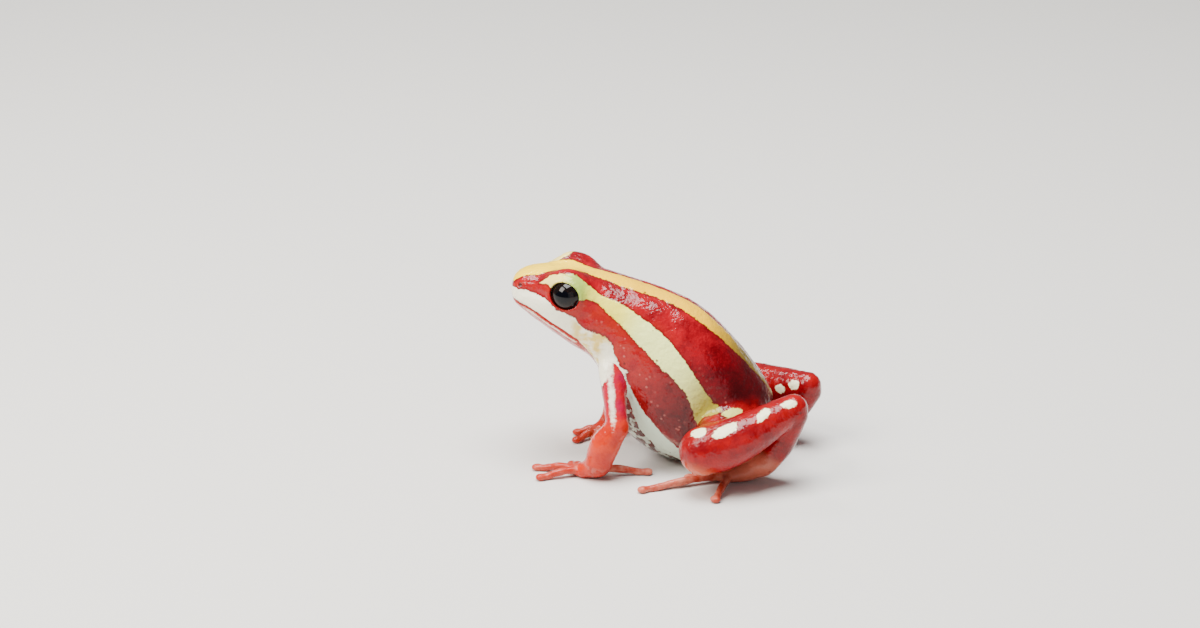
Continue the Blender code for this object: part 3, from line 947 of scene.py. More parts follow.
@dataclass(frozen=True)
class Markings:
    """The stripes and spots, as distances inside each in millimetres.

    The crown stripe's edges are stations and distances from the midline. It ends on the
    snout at a height, sagging to the sides, where the white upper lip starts a little lower.
    An area is a product of rises over stations, which run from the snout to the vent, angles,
    which run from 0 on the back to pi under the belly, and distances from limbs.
    """

    trunk: Trunk
    face: Face
    crown_left: Rows = (
        (0.0, 0.3), (0.6, 0.95), (1.1, 1.15), (2.2, 1.3), (3.0, 1.37), (4.3, 1.23), (5.1, 1.12),
        (6.3, 1.15), (7.0, 1.4), (8.0, 1.3), (9.2, 1.5), (10.0, 1.65), (10.9, 1.48), (12.0, 1.08),
        (13.2, 0.6), (15.0, 0.2), (16.0, -0.3))
    crown_right: Rows = (
        (0.0, 0.3), (0.6, 0.95), (1.1, 1.15), (2.2, 1.3), (3.0, 1.37), (4.3, 1.15), (5.0, 0.8),
        (5.7, 0.4), (6.5, 0.2), (8.0, 0.3), (9.2, 0.15), (10.4, 0.05), (11.5, 0.15), (12.5, 0.3),
        (13.6, 0.35), (15.0, 0.2), (16.0, -0.3))
    side_band: Band = Band(
        upper=((3.1, 0.84), (3.35, 0.76), (3.6, 0.63), (4.3, 0.58), (5.0, 0.58), (5.5, 0.65),
               (6.0, 0.73), (6.4, 0.79), (7.3, 0.82), (8.0, 0.90), (9.0, 0.97), (9.6, 1.03),
               (10.5, 1.12), (11.3, 1.19), (11.8, 1.23), (12.3, 1.31), (12.9, 1.42)),
        lower=((3.1, 0.85), (3.6, 0.88), (4.0, 1.05), (5.0, 1.1), (5.5, 1.07), (5.75, 0.99),
               (6.3, 1.0), (6.9, 1.15), (7.7, 1.25), (8.4, 1.34), (9.5, 1.40), (10.8, 1.41),
               (11.2, 1.46), (11.6, 1.54), (11.8, 1.59), (12.3, 1.66), (12.9, 1.7)),
        start=3.1, end=12.8,
        right_lean=((3.1, -0.4), (3.4, -0.36), (3.75, -0.28), (4.05, -0.22), (4.35, -0.14), (4.55, -0.02),
                    (5.0, 0.08), (5.4, 0.1), (6.4, 0.0), (9.0, 0.02), (11.0, -0.02)))
    lip_band: Band = Band(
        upper=((0.0, 1.0), (0.6, 1.0), (1.6, 1.22), (2.2, 1.18), (2.8, 1.22), (3.3, 1.25),
               (3.7, 1.32), (4.0, 1.40), (4.4, 1.45), (5.2, 1.48), (5.5, 1.6), (5.8, 1.66),
               (6.3, 1.62), (7.1, 1.60), (7.5, 1.64), (7.8, 1.78), (8.3, 1.8)),
        lower=((0.0, 1.96), (0.6, 1.93), (2.4, 1.85), (3.4, 1.85), (4.4, 1.92), (5.2, 2.0),
               (6.0, 2.25), (6.8, 2.5), (7.4, 2.5), (8.3, 2.3)),
        start=-1.0, end=8.6)
    flank_band: Band = Band(
        upper=((7.4, 1.66), (8.0, 1.78), (8.5, 1.84), (9.3, 2.0), (9.9, 2.08), (10.5, 2.12),
               (11.3, 2.18), (12.3, 2.26)),
        lower=((7.4, 2.1), (8.5, 2.02), (9.0, 2.09), (9.5, 2.22), (9.9, 2.33), (10.4, 2.43),
               (11.0, 2.48), (11.5, 2.58), (12.3, 2.6)),
        start=7.3, end=12.6)
    jaw_band: Band = Band(
        upper=((0.0, 2.08), (2.0, 1.99), (2.6, 1.97), (3.4, 2.0), (4.4, 2.06), (5.2, 2.14)),
        lower=((0.0, 2.1), (2.0, 2.05), (2.6, 2.08), (3.4, 2.12), (4.4, 2.16), (5.6, 2.22)),
        start=2.0, end=5.3)
    leg_spots: tuple[Spot, ...] = (
        Spot((3.97, 7.83, 5.42), 0.64, 0.55, (1.0, -0.2, 0.3)),
        Spot((6.05, 7.93, 5.75), 1.15, 0.5, (1.46, -0.92, 0.72)),
        Spot((8.86, 6.39, 6.59), 0.8, 0.4, (0.6, -1.04, 0.55)),
        Spot((10.78, 5.18, 7.13), 0.6, 0.36, (1.0, -0.4, 0.1)),
    )
    far_spots: tuple[Spot, ...] = (
        Spot((10.48, 3.33, 5.45), 0.46, 0.42, (1.0, 0.0, 0.3)),
        Spot((9.32, 3.73, 4.89), 0.5, 0.33, (1.0, 0.0, 0.3)),
    )
    thigh_spot: Spot = Spot((6.24, 4.49, 5.86), 0.95, 0.45, (1.25, -1.04, 0.1))
    groin_patch: Spot = Spot((4.35, 4.45, 6.0), 1.1, 0.55, (1.0, 0.1, 0.1))
    # A pale patch at the base of the upper arm, and a pale streak down its front that is partly the arm's
    # own pale line and partly a painted highlight.
    arm_marks: tuple[Spot, ...] = (
        Spot((-4.0, 3.7, 8.9), 1.3, 0.8, (0.2, 0.5, -1.2)),
        Spot((-3.24, 5.25, 6.8), 1.9, 0.24, (0.32, 1.27, -2.4)),
    )
    crown_angle: float = 1.35
    snout_end: float = 14.78
    snout_sag: float = 0.05
    snout_station: float = 2.2
    lip_top: float = 14.36
    lip_angle: float = 1.93
    lip_station: float = 1.2
    limb_clearance: float = 0.12
    # The instep's wide reach spreads its paler pink up the tarsus, partly as painted light.
    limb_edges: tuple[Rise, ...] = (
        Rise("arm", 0.25, 0.0), Rise("hand", 0.25, 0.0), Rise("leg", 0.3, 0.0), Rise("thigh", 0.6, 0.0),
        Rise("foot", 0.2, 0.0), Rise("instep", 0.8, -0.1), Rise("digit", 0.15, 0.0))
    areas: tuple[tuple[str, tuple[Rise, ...]], ...] = (
        ("limb", (Rise("any_limb", 0.3, 0.02),)),
        ("belly", (Rise("angle", 2.05, 2.5), Rise("any_limb", 0.02, 0.3), Rise("station", 4.8, 9.0),
                   Rise("station", 14.5, 12.3))),
        ("chin", (Rise("angle", 1.8, 1.9), Rise("station", 9.0, 5.5))),
        ("flank", (Rise("angle", 0.9, 1.3), Rise("angle", 2.3, 2.0), Rise("any_limb", 0.02, 0.3),
                   Rise("station", 5.0, 7.0))),
        # The rear of the back beside the thigh, which the skin darkens: partly its own darker red, partly
        # painted shade.
        ("rump", (Rise("angle", 1.3, 0.9), Rise("besides_thigh", 0.02, 0.3), Rise("station", 9.4, 12.8))),
        ("face", (Rise("angle", 0.75, 0.95), Rise("any_limb", 0.02, 0.3), Rise("station", 10.5, 7.0))))
    knee_middle: Point = (-0.4, 0.8, -1.5)
    knee_fade: Pair = (0.6, 1.9)

    @staticmethod
    def joined(points: Array, spots: tuple[Spot, ...], *sides: Side) -> Array:
        """How far each point lies inside the nearest of several spots."""
        return np.maximum.reduce([spot.inside(points, side) for side in sides for spot in spots])

    def read(self, points: Array, limbs: dict[str, Array]) -> dict[str, Array]:
        """Work out every marking at the skin's points.

        Args:
            points: Mesh points in millimetres.
            limbs: Distance from the chains of each kind of limb.

        Returns:
            One value a point for each attribute of the skin.
        """
        at = self.trunk.locate(points[:, 0], points[:, 2])
        angle = self.trunk.angle(at, points[:, 1])
        scale = (at["wide"] + at["tall"]) / 2
        u = at["u"]
        place = (u, angle, scale, points[:, 1] > 0)
        nearest = np.minimum.reduce(list(limbs.values()))
        besides_thigh = np.minimum.reduce([away for part, away in limbs.items() if part != "thigh"])
        measures = {"station": u, "angle": angle, "any_limb": nearest, "besides_thigh": besides_thigh}
        off_limb = np.where(nearest < self.limb_clearance, -1.0, 0.0)
        left, right = (np.interp(u, *np.transpose(half)) for half in (self.crown_left, self.crown_right))
        crown = np.minimum.reduce([left + points[:, 1], right - points[:, 1],
                                   (self.crown_angle - angle) * scale])
        tip = points[:, 2] - self.snout_end - self.snout_sag * points[:, 1] ** 2
        crown = np.where(u < self.snout_station, np.minimum(crown, tip), crown)
        lip = self.lip_band.inside(*place) + off_limb
        front = np.minimum(self.lip_top - points[:, 2], (self.lip_angle - angle) * scale)
        lip = np.where(u < self.lip_station, np.maximum(lip, front), lip)
        knee = np.zeros(len(points))
        for leg in LEGS:
            middle = leg.side.place(leg.knee) + leg.side.place(self.knee_middle)
            away = np.linalg.norm(points - middle, axis=1)
            knee = np.maximum(knee, 1 - ramp(away, *self.knee_fade))
        # Distance to the nearest nostril, which the skin darkens as painted shade of the opening.
        nostrils = [np.linalg.norm(points - self.face.nostril_point(side), axis=1) for side in Side]
        marks = {edge.of: edge.at(limbs) for edge in self.limb_edges}
        marks |= {name: np.prod([rise.at(measures) for rise in rises], axis=0)
                  for name, rises in self.areas}
        return marks | {
            "crown": crown,
            "side_band": np.maximum(self.side_band.inside(*place) + off_limb,
                                    self.joined(points, (self.groin_patch,), *Side)),
            "lip_band": lip,
            "flank_band": self.flank_band.inside(*place) + off_limb,
            "jaw_band": self.jaw_band.inside(*place),
            "spots": np.maximum(self.joined(points, self.leg_spots, *Side),
                                self.joined(points, self.far_spots, Side.RIGHT)),
            "green_spots": self.joined(points, (self.thigh_spot,), *Side),
            "streak_and_highlight": self.joined(points, self.arm_marks, *Side),
            "knee": knee,
            "nostril": -np.minimum(*nostrils),
            "eye_gap": np.minimum(*(self.face.opening_gap(side, points.T) for side in Side)),
            "station": u,
        }


@dataclass(frozen=True)
class Coat:
    """Colour that lies over whatever is below it.

    Args:
        cover: Markings, rises and numbers, whose product is how much the coat covers.
        colour: The coat's colour.
        coats: Coats that lie over this colour and show only where it does.
    """

    cover: tuple["str | float | Rise", ...]
    colour: str
    coats: tuple["Coat", ...] = ()


class NodeGraph:
    """A material's nodes, with one small function that adds each of them."""

    def __init__(self, name: str) -> None:
        """Start a material with its output node.

        Args:
            name: The material's name.
        """
        self.material = bpy.data.materials.new(name)
        self.material.use_nodes = True
        self.tree = self.material.node_tree
        self.tree.nodes.clear()
        self.output = self.tree.nodes.new("ShaderNodeOutputMaterial")
        self.patterns: dict[str, Socket] = {}

    def add(self, kind: str, links: dict | None = None, **settings: object) -> bpy.types.NodeOutputs:
        """Add a node.

        Args:
            kind: The node's type, without the word that all shader nodes share.
            links: Input name or number to a value or to another node's output.
            settings: The node's own properties.

        Returns:
            The new node's outputs.
        """
        node = self.tree.nodes.new("ShaderNode" + kind)
        for key, value in settings.items():
            setattr(node, key, value)
        for key, value in (links or {}).items():
            socket = node.inputs[key]
            if isinstance(value, Socket):
                self.tree.links.new(value, socket)
            else:
                socket.default_value = value
        return node.outputs

    def cover(self, parts: Sequence[str | float | Rise]) -> Socket:
        """Work out how much a coat covers.

        Args:
            parts: Names of patterns or of markings on the mesh, rises of them, and numbers.

        Returns:
            The product of the parts.
        """
        total = None
        for part in parts:
            value = part
            if not isinstance(part, float):
                rise = part if isinstance(part, Rise) else None
                name = rise.of if rise else part
                value = self.patterns.get(name)
                if value is None:
                    value = self.add("Attribute", attribute_name=name)["Fac"]
                if rise and rise.wavy:
                    wave = self.patterns["edge_wave"]
                    value = self.add("Math", {0: value, 1: wave}, operation="ADD")[0]
                if rise:
                    value = self.add("MapRange", {0: value, 1: rise.start, 2: rise.end},
                                     interpolation_type="SMOOTHSTEP")[0]
            total = value if total is None else self.add(
                "Math", {0: total, 1: value}, operation="MULTIPLY")[0]
        return total

    def paint(self, colour: str, coats: Sequence[Coat]) -> Socket | tuple[float, ...]:
        """Lay coats over a colour, and over each coat its own.

        Args:
            colour: The lowest colour.
            coats: The coats, from the lowest up.

        Returns:
            The finished colour.
        """
        painted = linear(colour)
        for coat in coats:
            over = self.paint(coat.colour, coat.coats)
            painted = self.add("Mix", {0: self.cover(coat.cover), 6: painted, 7: over},
                               data_type="RGBA")[2]
        return painted

    def finish(self, shader: Socket) -> bpy.types.Material:
        """Join the shader to the output."""
        self.tree.links.new(shader, self.output.inputs["Surface"])
        return self.material


@dataclass(frozen=True)
class WetSkin:
    """Living frog skin: finely granular, kept wet by mucus, which gives sharp small glints.

    The crimson is carotenoid colour over a dark layer, so it varies in soft clouds. The
    stripes are a pale reflecting layer and have crisp, slightly wavy edges. The real granules
    are about 0.1 mm across. They are drawn at twice that, nearly three pixels, so that they show.

    A noise is a name, a size in millimetres, a detail and a roughness. Cells are a name, a
    size and the channel of their random colour that picks some of them. A wave is a noise
    and how far it moves an edge, in millimetres. A bare number in a cover is a strength.
    """

    crimson: str = "#9C0014"
    dark_crimson: str = "#70000C"
    bright_red: str = "#B8081A"
    # Very dark red for the rear of the back, partly the skin's own darker rump and partly painted shade;
    # it also darkens the flank towards the groin as painted shade of the thigh.
    flank_red: str = "#9C161C"
    rump_red: str = "#300003"
    upper_arm: str = "#A8003C"
    orange: str = "#C83008"
    hand_red: str = "#B41E08"
    foot_red: str = "#6A080C"
    # Pale pink of the foot and lower tarsus: partly the skin's own colour, partly painted light in the
    # shank's shade and a painted highlight along the tarsus's ridge.
    instep: str = "#C46C54"
    leg_red: str = "#980008"
    knee: str = "#CC5828"
    digit: str = "#A83420"
    digit_pale: str = "#CC745C"
    crown: str = "#F6BE00"
    crown_front: str = "#FFD414"
    face_red: str = "#A01C12"
    thigh: str = "#5A0006"
    green_spot: str = "#CFD070"
    side: str = "#F0F89C"
    groin: str = "#988C2C"
    brow: str = "#F5DD7C"
    lid: str = "#A4BC50"
    neck_yellow: str = "#EEE250"
    crown_end: str = "#6E5A20"
    cream: str = "#FBF7DC"
    flank: str = "#CFE4CE"
    cheek: str = "#E8CA68"
    granule: str = "#DE8478"
    fleck: str = "#5A0A0C"
    outline: str = "#4A0606"
    spot: str = "#FBF8C8"
    belly_dark: str = "#4A1714"
    belly_pale: str = "#B9C7B4"
    # Dark red-brown for the lid margin round the eye, and painted shade in the nostrils.
    rim: str = "#3A1A16"
    granule_mm: float = 0.22
    granule_depth: float = -0.7
    granule_smoothness: float = 0.6
    relief_mm: float = 0.06
    relief_strengths: Pair = (0.6, 0.5)
    noises: tuple[tuple[str, float, float, float], ...] = (
        ("clouds", 1.3, 3.0, 0.55), ("fine", 0.28, 2.0, 0.5), ("waves", 0.55, 4.0, 0.62),
        ("teeth", 0.2, 1.0, 0.5), ("mottle", 0.5, 3.0, 0.6), ("blotches", 0.8, 2.5, 0.5),
        ("patches", 0.8, 2.0, 0.5), ("creases", 0.5, 4.0, 0.6))
    cells: tuple[tuple[str, float, int], ...] = (("dots", 0.42, 1), ("specks", 1.15, 0))
    waves: tuple[tuple[str, float], ...] = (("waves", 0.42), ("teeth", 0.2))
    roughness: Pair = (0.28, 0.46)
    skin_ior: float = 1.4
    specular: float = 0.1
    coat: float = 0.9
    coat_roughness: float = 0.07
    coat_ior: float = 1.34

    def coats(self) -> tuple[Coat, ...]:
        """The coats of colour that lie over the darkest red.

        Returns:
            The coats, from the lowest up.
        """
        def clouded(mark: str, start: float, end: float, low: str, high: str) -> Coat:
            """A marking in two colours that change with the clouds."""
            return Coat((mark,), low, (Coat((Rise("clouds", start, end),), high),))

        def along(start: float, end: float, colour: str) -> Coat:
            """A colour that sets in between two stations of the trunk."""
            return Coat((Rise("station", start, end),), colour)

        edge = Rise.edge
        return (
            Coat((Rise("clouds", 0.3, 0.7),), self.crimson),
            Coat((Rise("fine", 0.5, 0.72), 0.35), self.bright_red),
            Coat(("flank", Rise("clouds", 0.3, 0.5)), self.flank_red,
                 (Coat((Rise("mottle", 0.5, 0.68), 0.6), self.dark_crimson),)),
            # Darkens the rear of the back: partly the skin's own darker rump, partly painted shade.
            Coat(("rump", 0.86), self.rump_red),
            # Darkens the flank towards the groin: painted shade of the thigh, with some of the skin's own
            # darker red.
            Coat(("flank", Rise("station", 8.4, 11.4), 0.72), self.rump_red),
            clouded("face", 0.3, 0.6, self.crimson, self.face_red),
            clouded("thigh", 0.3, 0.7, self.thigh, self.leg_red),
            clouded("leg", 0.3, 0.75, self.leg_red, self.dark_crimson),
            clouded("arm", 0.3, 0.7, self.upper_arm, self.bright_red),
            clouded("hand", 0.35, 0.7, self.hand_red, self.orange),
            clouded("foot", 0.3, 0.75, self.foot_red, self.leg_red),
            # Paler pink over the foot and lower tarsus: partly its own colour, partly painted light in
            # the shank's shade and along the tarsus's ridge.
            Coat(("instep", 0.8), self.instep),
            clouded("digit", 0.35, 0.65, self.digit, self.digit_pale),
            Coat(("knee", 0.75), self.knee),
            Coat(("belly",), self.belly_dark, (Coat((Rise("blotches", 0.5, 0.58),), self.belly_pale),)),
            Coat(("chin", 0.6), self.hand_red),
            Coat((Rise("dots", 0.34, 0.16), Rise("dots_pick", 0.45, 0.9), "flank", 0.35), self.granule),
            *(Coat((Rise(band, -0.24, -0.02, wavy=True), 0.62), self.outline)
              for band in ("side_band", "crown", "lip_band")),
            Coat((edge("flank_band"),), self.flank),
            Coat((edge("jaw_band", 0.1), 0.75), self.cream),
            Coat((edge("lip_band"),), self.cream,
                 (Coat((Rise("station", 4.4, 5.6), Rise("patches", 0.35, 0.62)), self.cheek),
                  along(7.0, 7.6, self.cream))),
            Coat((edge("side_band"),), self.neck_yellow,
                 (along(7.1, 8.5, self.side), along(9.9, 12.1, self.groin),
                  along(6.2, 5.3, self.lid), along(5.0, 4.1, self.brow))),
            Coat((edge("crown"),), self.crown_front,
                 (along(3.5, 8.0, self.crown), along(9.5, 12.3, self.crown_end))),
            Coat((edge("green_spots"),), self.green_spot),
            Coat((edge("spots"),), self.spot),
            # Pale streak down the front of the upper arm: partly its own pale line, partly a painted
            # highlight.
            Coat((edge("streak_and_highlight", 0.12), 0.85), self.cream),
            Coat((Rise("specks", 0.12, 0.07), Rise("specks_pick", 0.62, 0.66), 0.8), self.fleck),
            # Painted shade: darkens the nostrils' openings.
            Coat((Rise("nostril", -0.24, -0.12), 0.85), self.rim),
            Coat((Rise("eye_gap", 0.06, 0.01), 0.7), self.rim),
        )

    def make(self) -> bpy.types.Material:
        """Build the node graph.

        Returns:
            The material.
        """
        graph = NodeGraph("wet_frog_skin")
        where = graph.add("TexCoord")["Object"]
        for name, size_mm, detail, roughness in self.noises:
            graph.patterns[name] = graph.add("TexNoise", {
                "Vector": where, "Scale": 1 / (size_mm * MM), "Detail": detail,
                "Roughness": roughness})["Fac"]
        for name, size_mm, channel in self.cells:
            cells = graph.add("TexVoronoi", {"Vector": where, "Scale": 1 / (size_mm * MM)})
            graph.patterns[name] = cells["Distance"]
            graph.patterns[name + "_pick"] = graph.add(
                "SeparateColor", {"Color": cells["Color"]})[channel]
        wave = 0.0
        for name, swing_mm in self.waves:
            centred = graph.add("Math", {0: graph.patterns[name], 1: 0.5}, operation="SUBTRACT")[0]
            wave = graph.add("Math", {0: centred, 1: swing_mm, 2: wave}, operation="MULTIPLY_ADD")[0]
        graph.patterns["edge_wave"] = wave
        granules = graph.add("TexVoronoi", {"Vector": where, "Scale": 1 / (self.granule_mm * MM),
                                            "Smoothness": self.granule_smoothness},
                             feature="SMOOTH_F1")["Distance"]
        height = graph.add("Math", {0: granules, 1: self.granule_depth, 2: graph.patterns["creases"]},
                           operation="MULTIPLY_ADD")[0]
        bump, film = (graph.add("Bump", {
            "Strength": strength, "Distance": self.relief_mm * MM, "Height": height})["Normal"]
            for strength in self.relief_strengths)
        low, high = self.roughness
        rough = graph.add("MapRange", {0: graph.patterns["fine"], 1: 0.3, 2: 0.7, 3: low, 4: high})[0]
        shader = graph.add("BsdfPrincipled", {
            "Base Color": graph.paint(self.dark_crimson, self.coats()), "Roughness": rough,
            "IOR": self.skin_ior, "Specular IOR Level": self.specular, "Coat Weight": self.coat,
            "Coat Roughness": self.coat_roughness, "Coat IOR": self.coat_ior,
            "Normal": bump, "Coat Normal": film})
        return graph.finish(shader["BSDF"])


@dataclass(frozen=True)
class WetEye:
    """A frog's eye: dark iris flecked with copper, a wide black pupil and a wet cornea."""

    pupil: str = "#020207"
    iris: str = "#0A0607"
    fleck: str = "#30190F"
    rim: str = "#8A8C90"
    fleck_mm: float = 0.12
    cornea_ior: float = 1.376
    coat: float = 0.8
    coat_roughness: float = 0.015

    def make(self) -> bpy.types.Material:
        """Build the node graph.

        Returns:
            The material.
        """
        graph = NodeGraph("wet_frog_eye")
        where = graph.add("TexCoord")["Object"]
        flecks = graph.add("TexNoise", {
            "Vector": where, "Scale": 1 / (self.fleck_mm * MM), "Detail": 3.0})
        pupil = graph.add("Attribute", attribute_name="pupil")
        radial = graph.add("Attribute", attribute_name="radial")
        colour = linear(self.iris)
        for source, start, end, strength, over in (
                (flecks, 0.5, 0.75, 0.7, self.fleck), (pupil, -0.03, 0.03, 1.0, self.pupil),
                (radial, 1.12, 1.2, 1.0, self.rim)):
            cover = graph.add("MapRange", {0: source["Fac"], 1: start, 2: end, 4: strength})
            colour = graph.add("Mix", {0: cover[0], 6: colour, 7: linear(over)},
                               data_type="RGBA")[2]
        shader = graph.add("BsdfPrincipled", {
            "Base Color": colour, "Roughness": 0.3, "IOR": self.cornea_ior, "Specular IOR Level": 0.0,
            "Coat Weight": self.coat, "Coat Roughness": self.coat_roughness, "Coat IOR": self.cornea_ior})
        return graph.finish(shader["BSDF"])


@dataclass(frozen=True)
class PaleFloor:
    """Matt painted board, pale and even."""

    colour: str = "#DAD8D3"
    roughness: float = 0.7

    def make(self) -> bpy.types.Material:
        """Build the node graph."""
        graph, settings = NodeGraph("pale_painted_board"), {"Base Color": linear(self.colour)}
        return graph.finish(graph.add("BsdfPrincipled", settings | {"Roughness": self.roughness})["BSDF"])


def mesh_object(name: str, points: Array, quads: Array, shift: Array,
                values: dict[str, Array]) -> bpy.types.Object:
    """Make a smooth mesh object from points in millimetres.

    Args:
        name: The object's name.
        points: One row a point.
        quads: Four indices a face.
        shift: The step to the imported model's frame.
        values: Numbers at each point, by attribute name.

    Returns:
        The new object.
    """
    mesh = bpy.data.meshes.new(name)
    mesh.vertices.add(len(points))
    mesh.vertices.foreach_set("co", ((points + shift) * MM).astype(np.float32).ravel())
    mesh.loops.add(quads.size)
    mesh.loops.foreach_set("vertex_index", quads.astype(np.int32).ravel())
    mesh.polygons.add(len(quads))
    mesh.polygons.foreach_set("loop_start", np.arange(0, quads.size, 4, dtype=np.int32))
    mesh.update(calc_edges=True)
    mesh.validate()
    mesh.shade_smooth()
    for key, numbers in values.items():
        made = mesh.attributes.new(key, "FLOAT", "POINT")
        made.data.foreach_set("value", numbers.astype(np.float32))
    piece = bpy.data.objects.new(name, mesh)
    bpy.context.scene.collection.objects.link(piece)
    return piece


def point_normals(points: Array, quads: Array) -> Array:
    """Outward unit normals at the points of a mesh of quads.

    Args:
        points: One row a point.
        quads: Four indices a face.

    Returns:
        One unit vector a point.
    """
    face = np.cross(points[quads[:, 2]] - points[quads[:, 0]], points[quads[:, 3]] - points[quads[:, 1]])
    total = np.zeros_like(points)
    for k in range(4):
        np.add.at(total, quads[:, k], face)
    return total / np.maximum(np.linalg.norm(total, axis=1), TINY)[:, None]


def largest_shell(points: Array, quads: Array) -> tuple[Array, Array]:
    """Keep the largest connected surface of a mesh.

    Args:
        points: One row a point.
        quads: Four indices a face.

    Returns:
        The points and quads that are kept.
    """
    label = np.arange(len(points))
    while True:
        lowest = label[quads].min(1)
        fresh = label.copy()
        for k in range(4):
            np.minimum.at(fresh, quads[:, k], lowest)
        fresh = fresh[fresh]
        if (fresh == label).all():
            break
        label = fresh
    names, counts = np.unique(label, return_counts=True)
    keep = label == names[counts.argmax()]
    number = np.cumsum(keep) - 1
    return points[keep], number[quads[keep[quads].all(1)]]


@dataclass
class Skin:
    """The whole animal's skin as one mesh.

    The block of clay reaches from low to high. The belly sags between chest and vent along a
    chain of places on the midline (x and z) with their radii. Each relief is a cell size and
    a height in millimetres. It fades out near the eyes, and a part of it on hands and feet.
    The folds keep their least share on limbs and head.
    """

    trunk: Trunk
    face: Face
    shift: Array
    step: float = 0.085
    low: Point = (-12.9, -10.6, -0.3)
    high: Point = (13.3, 10.6, 17.0)
    belly: Rows = ((-1.65, 7.7, 2.95), (-1.2, 6.42, 3.18), (-0.4, 5.05, 3.36), (0.75, 3.85, 3.4),
                   (2.2, 3.25, 3.14), (3.8, 3.3, 3.0))
    belly_fillet: float = 0.6
    ground_fillet: float = 0.12
    granules: Pair = (0.34, 0.02)
    folds: Pair = (1.1, 0.05)
    cheek_bumps: Pair = (0.62, 0.11)
    fold_stretch: Point = (1.0, 1.0, 0.6)
    fold_start: Rise = Rise("station", 6.0, 8.0)
    least_fold: float = 0.25
    cheek_start: Rise = Rise("station", 4.6, 6.0)
    cheek_edge: Rise = Rise("lip_band", 0.05, 0.4)
    stripe_edge: Pair = (-0.12, 0.16)
    stripe_height: float = 0.03
    eye_edge: Rise = Rise("eye_gap", 0.05, 0.5)
    hand_fade: float = 0.5

    def sculpt(self) -> tuple[Clay, dict[str, list[Chain]]]:
        """Model trunk, limbs and face in one block of clay.

        Returns:
            The block, and the chains of each kind of limb.
        """
        clay = Clay(self.low, self.high, self.step)
        where, grid = clay.window((np.array(self.low), np.array(self.high)))
        clay.values[where] = self.trunk.distance(grid).clip(-FAR, FAR)
        clay.add(Chain.through([(x, 0.0, z) for x, z, _ in self.belly],
                               [radius for *_, radius in self.belly]), self.belly_fillet)
        chains: dict[str, list[Chain]] = {}
        for limb in ARMS + LEGS:
            for part, made in limb.build(clay).items():
                chains.setdefault(part, []).extend(made)
        self.face.build(clay)
        near_ground = (np.array(self.low), np.array((*self.high[:2], 1.2)))
        clay.cut(lambda grid: grid[2], near_ground, self.ground_fillet)
        return clay, chains

    def build(self) -> bpy.types.Object:
        """Turn the clay into the finished skin.

        Returns:
            The skin.
        """
        clay, chains = self.sculpt()
        points, quads = largest_shell(*clay.surface())
        normals = point_normals(points, quads)
        limbs = {part: self.nearest(points, made) for part, made in chains.items()}
        marks = Markings(self.trunk, self.face).read(points, limbs)
        points = points + normals * self.relief(points, marks)[:, None]
        points[:, 2] = np.maximum(points[:, 2], 0.0)
        skin = mesh_object("skin", points, quads, self.shift, marks)
        skin.data.materials.append(WetSkin().make())
        return skin

    @staticmethod
    def nearest(points: Array, chains: list[Chain]) -> Array:
        """Distance from the nearest of several chains."""
        return np.minimum.reduce([chain.distance(points.T) for chain in chains])

    def relief(self, points: Array, marks: dict[str, Array]) -> Array:
        """Granules and shallow folds, in millimetres along the normal.

        Args:
            points: Mesh points in millimetres.
            marks: The markings at each point.

        Returns:
            One height a point.
        """
        (granule_mm, granule_height), (fold_mm, fold_height) = self.granules, self.folds
        bump_mm, bump_height = self.cheek_bumps
        granule = Grain(5).at(points, granule_mm) * granule_height
        fold = Grain(11).at(points * self.fold_stretch, fold_mm) * fold_height
        bump = np.maximum(Grain(7).at(points, bump_mm), 0.0) * bump_height
        on_trunk = 1 - marks["limb"]
        fold *= self.least_fold + (1 - self.least_fold) * on_trunk * self.fold_start.at(marks)
        bump *= self.cheek_edge.at(marks) * self.cheek_start.at(marks)
        stripe = ramp(np.maximum(marks["side_band"], marks["crown"]), *self.stripe_edge)
        stripe *= self.stripe_height * on_trunk
        share = self.eye_edge.at(marks)
        for part in ("foot", "hand"):
            share *= 1 - self.hand_fade * marks[part]
        return share * (granule + fold + bump + stripe)


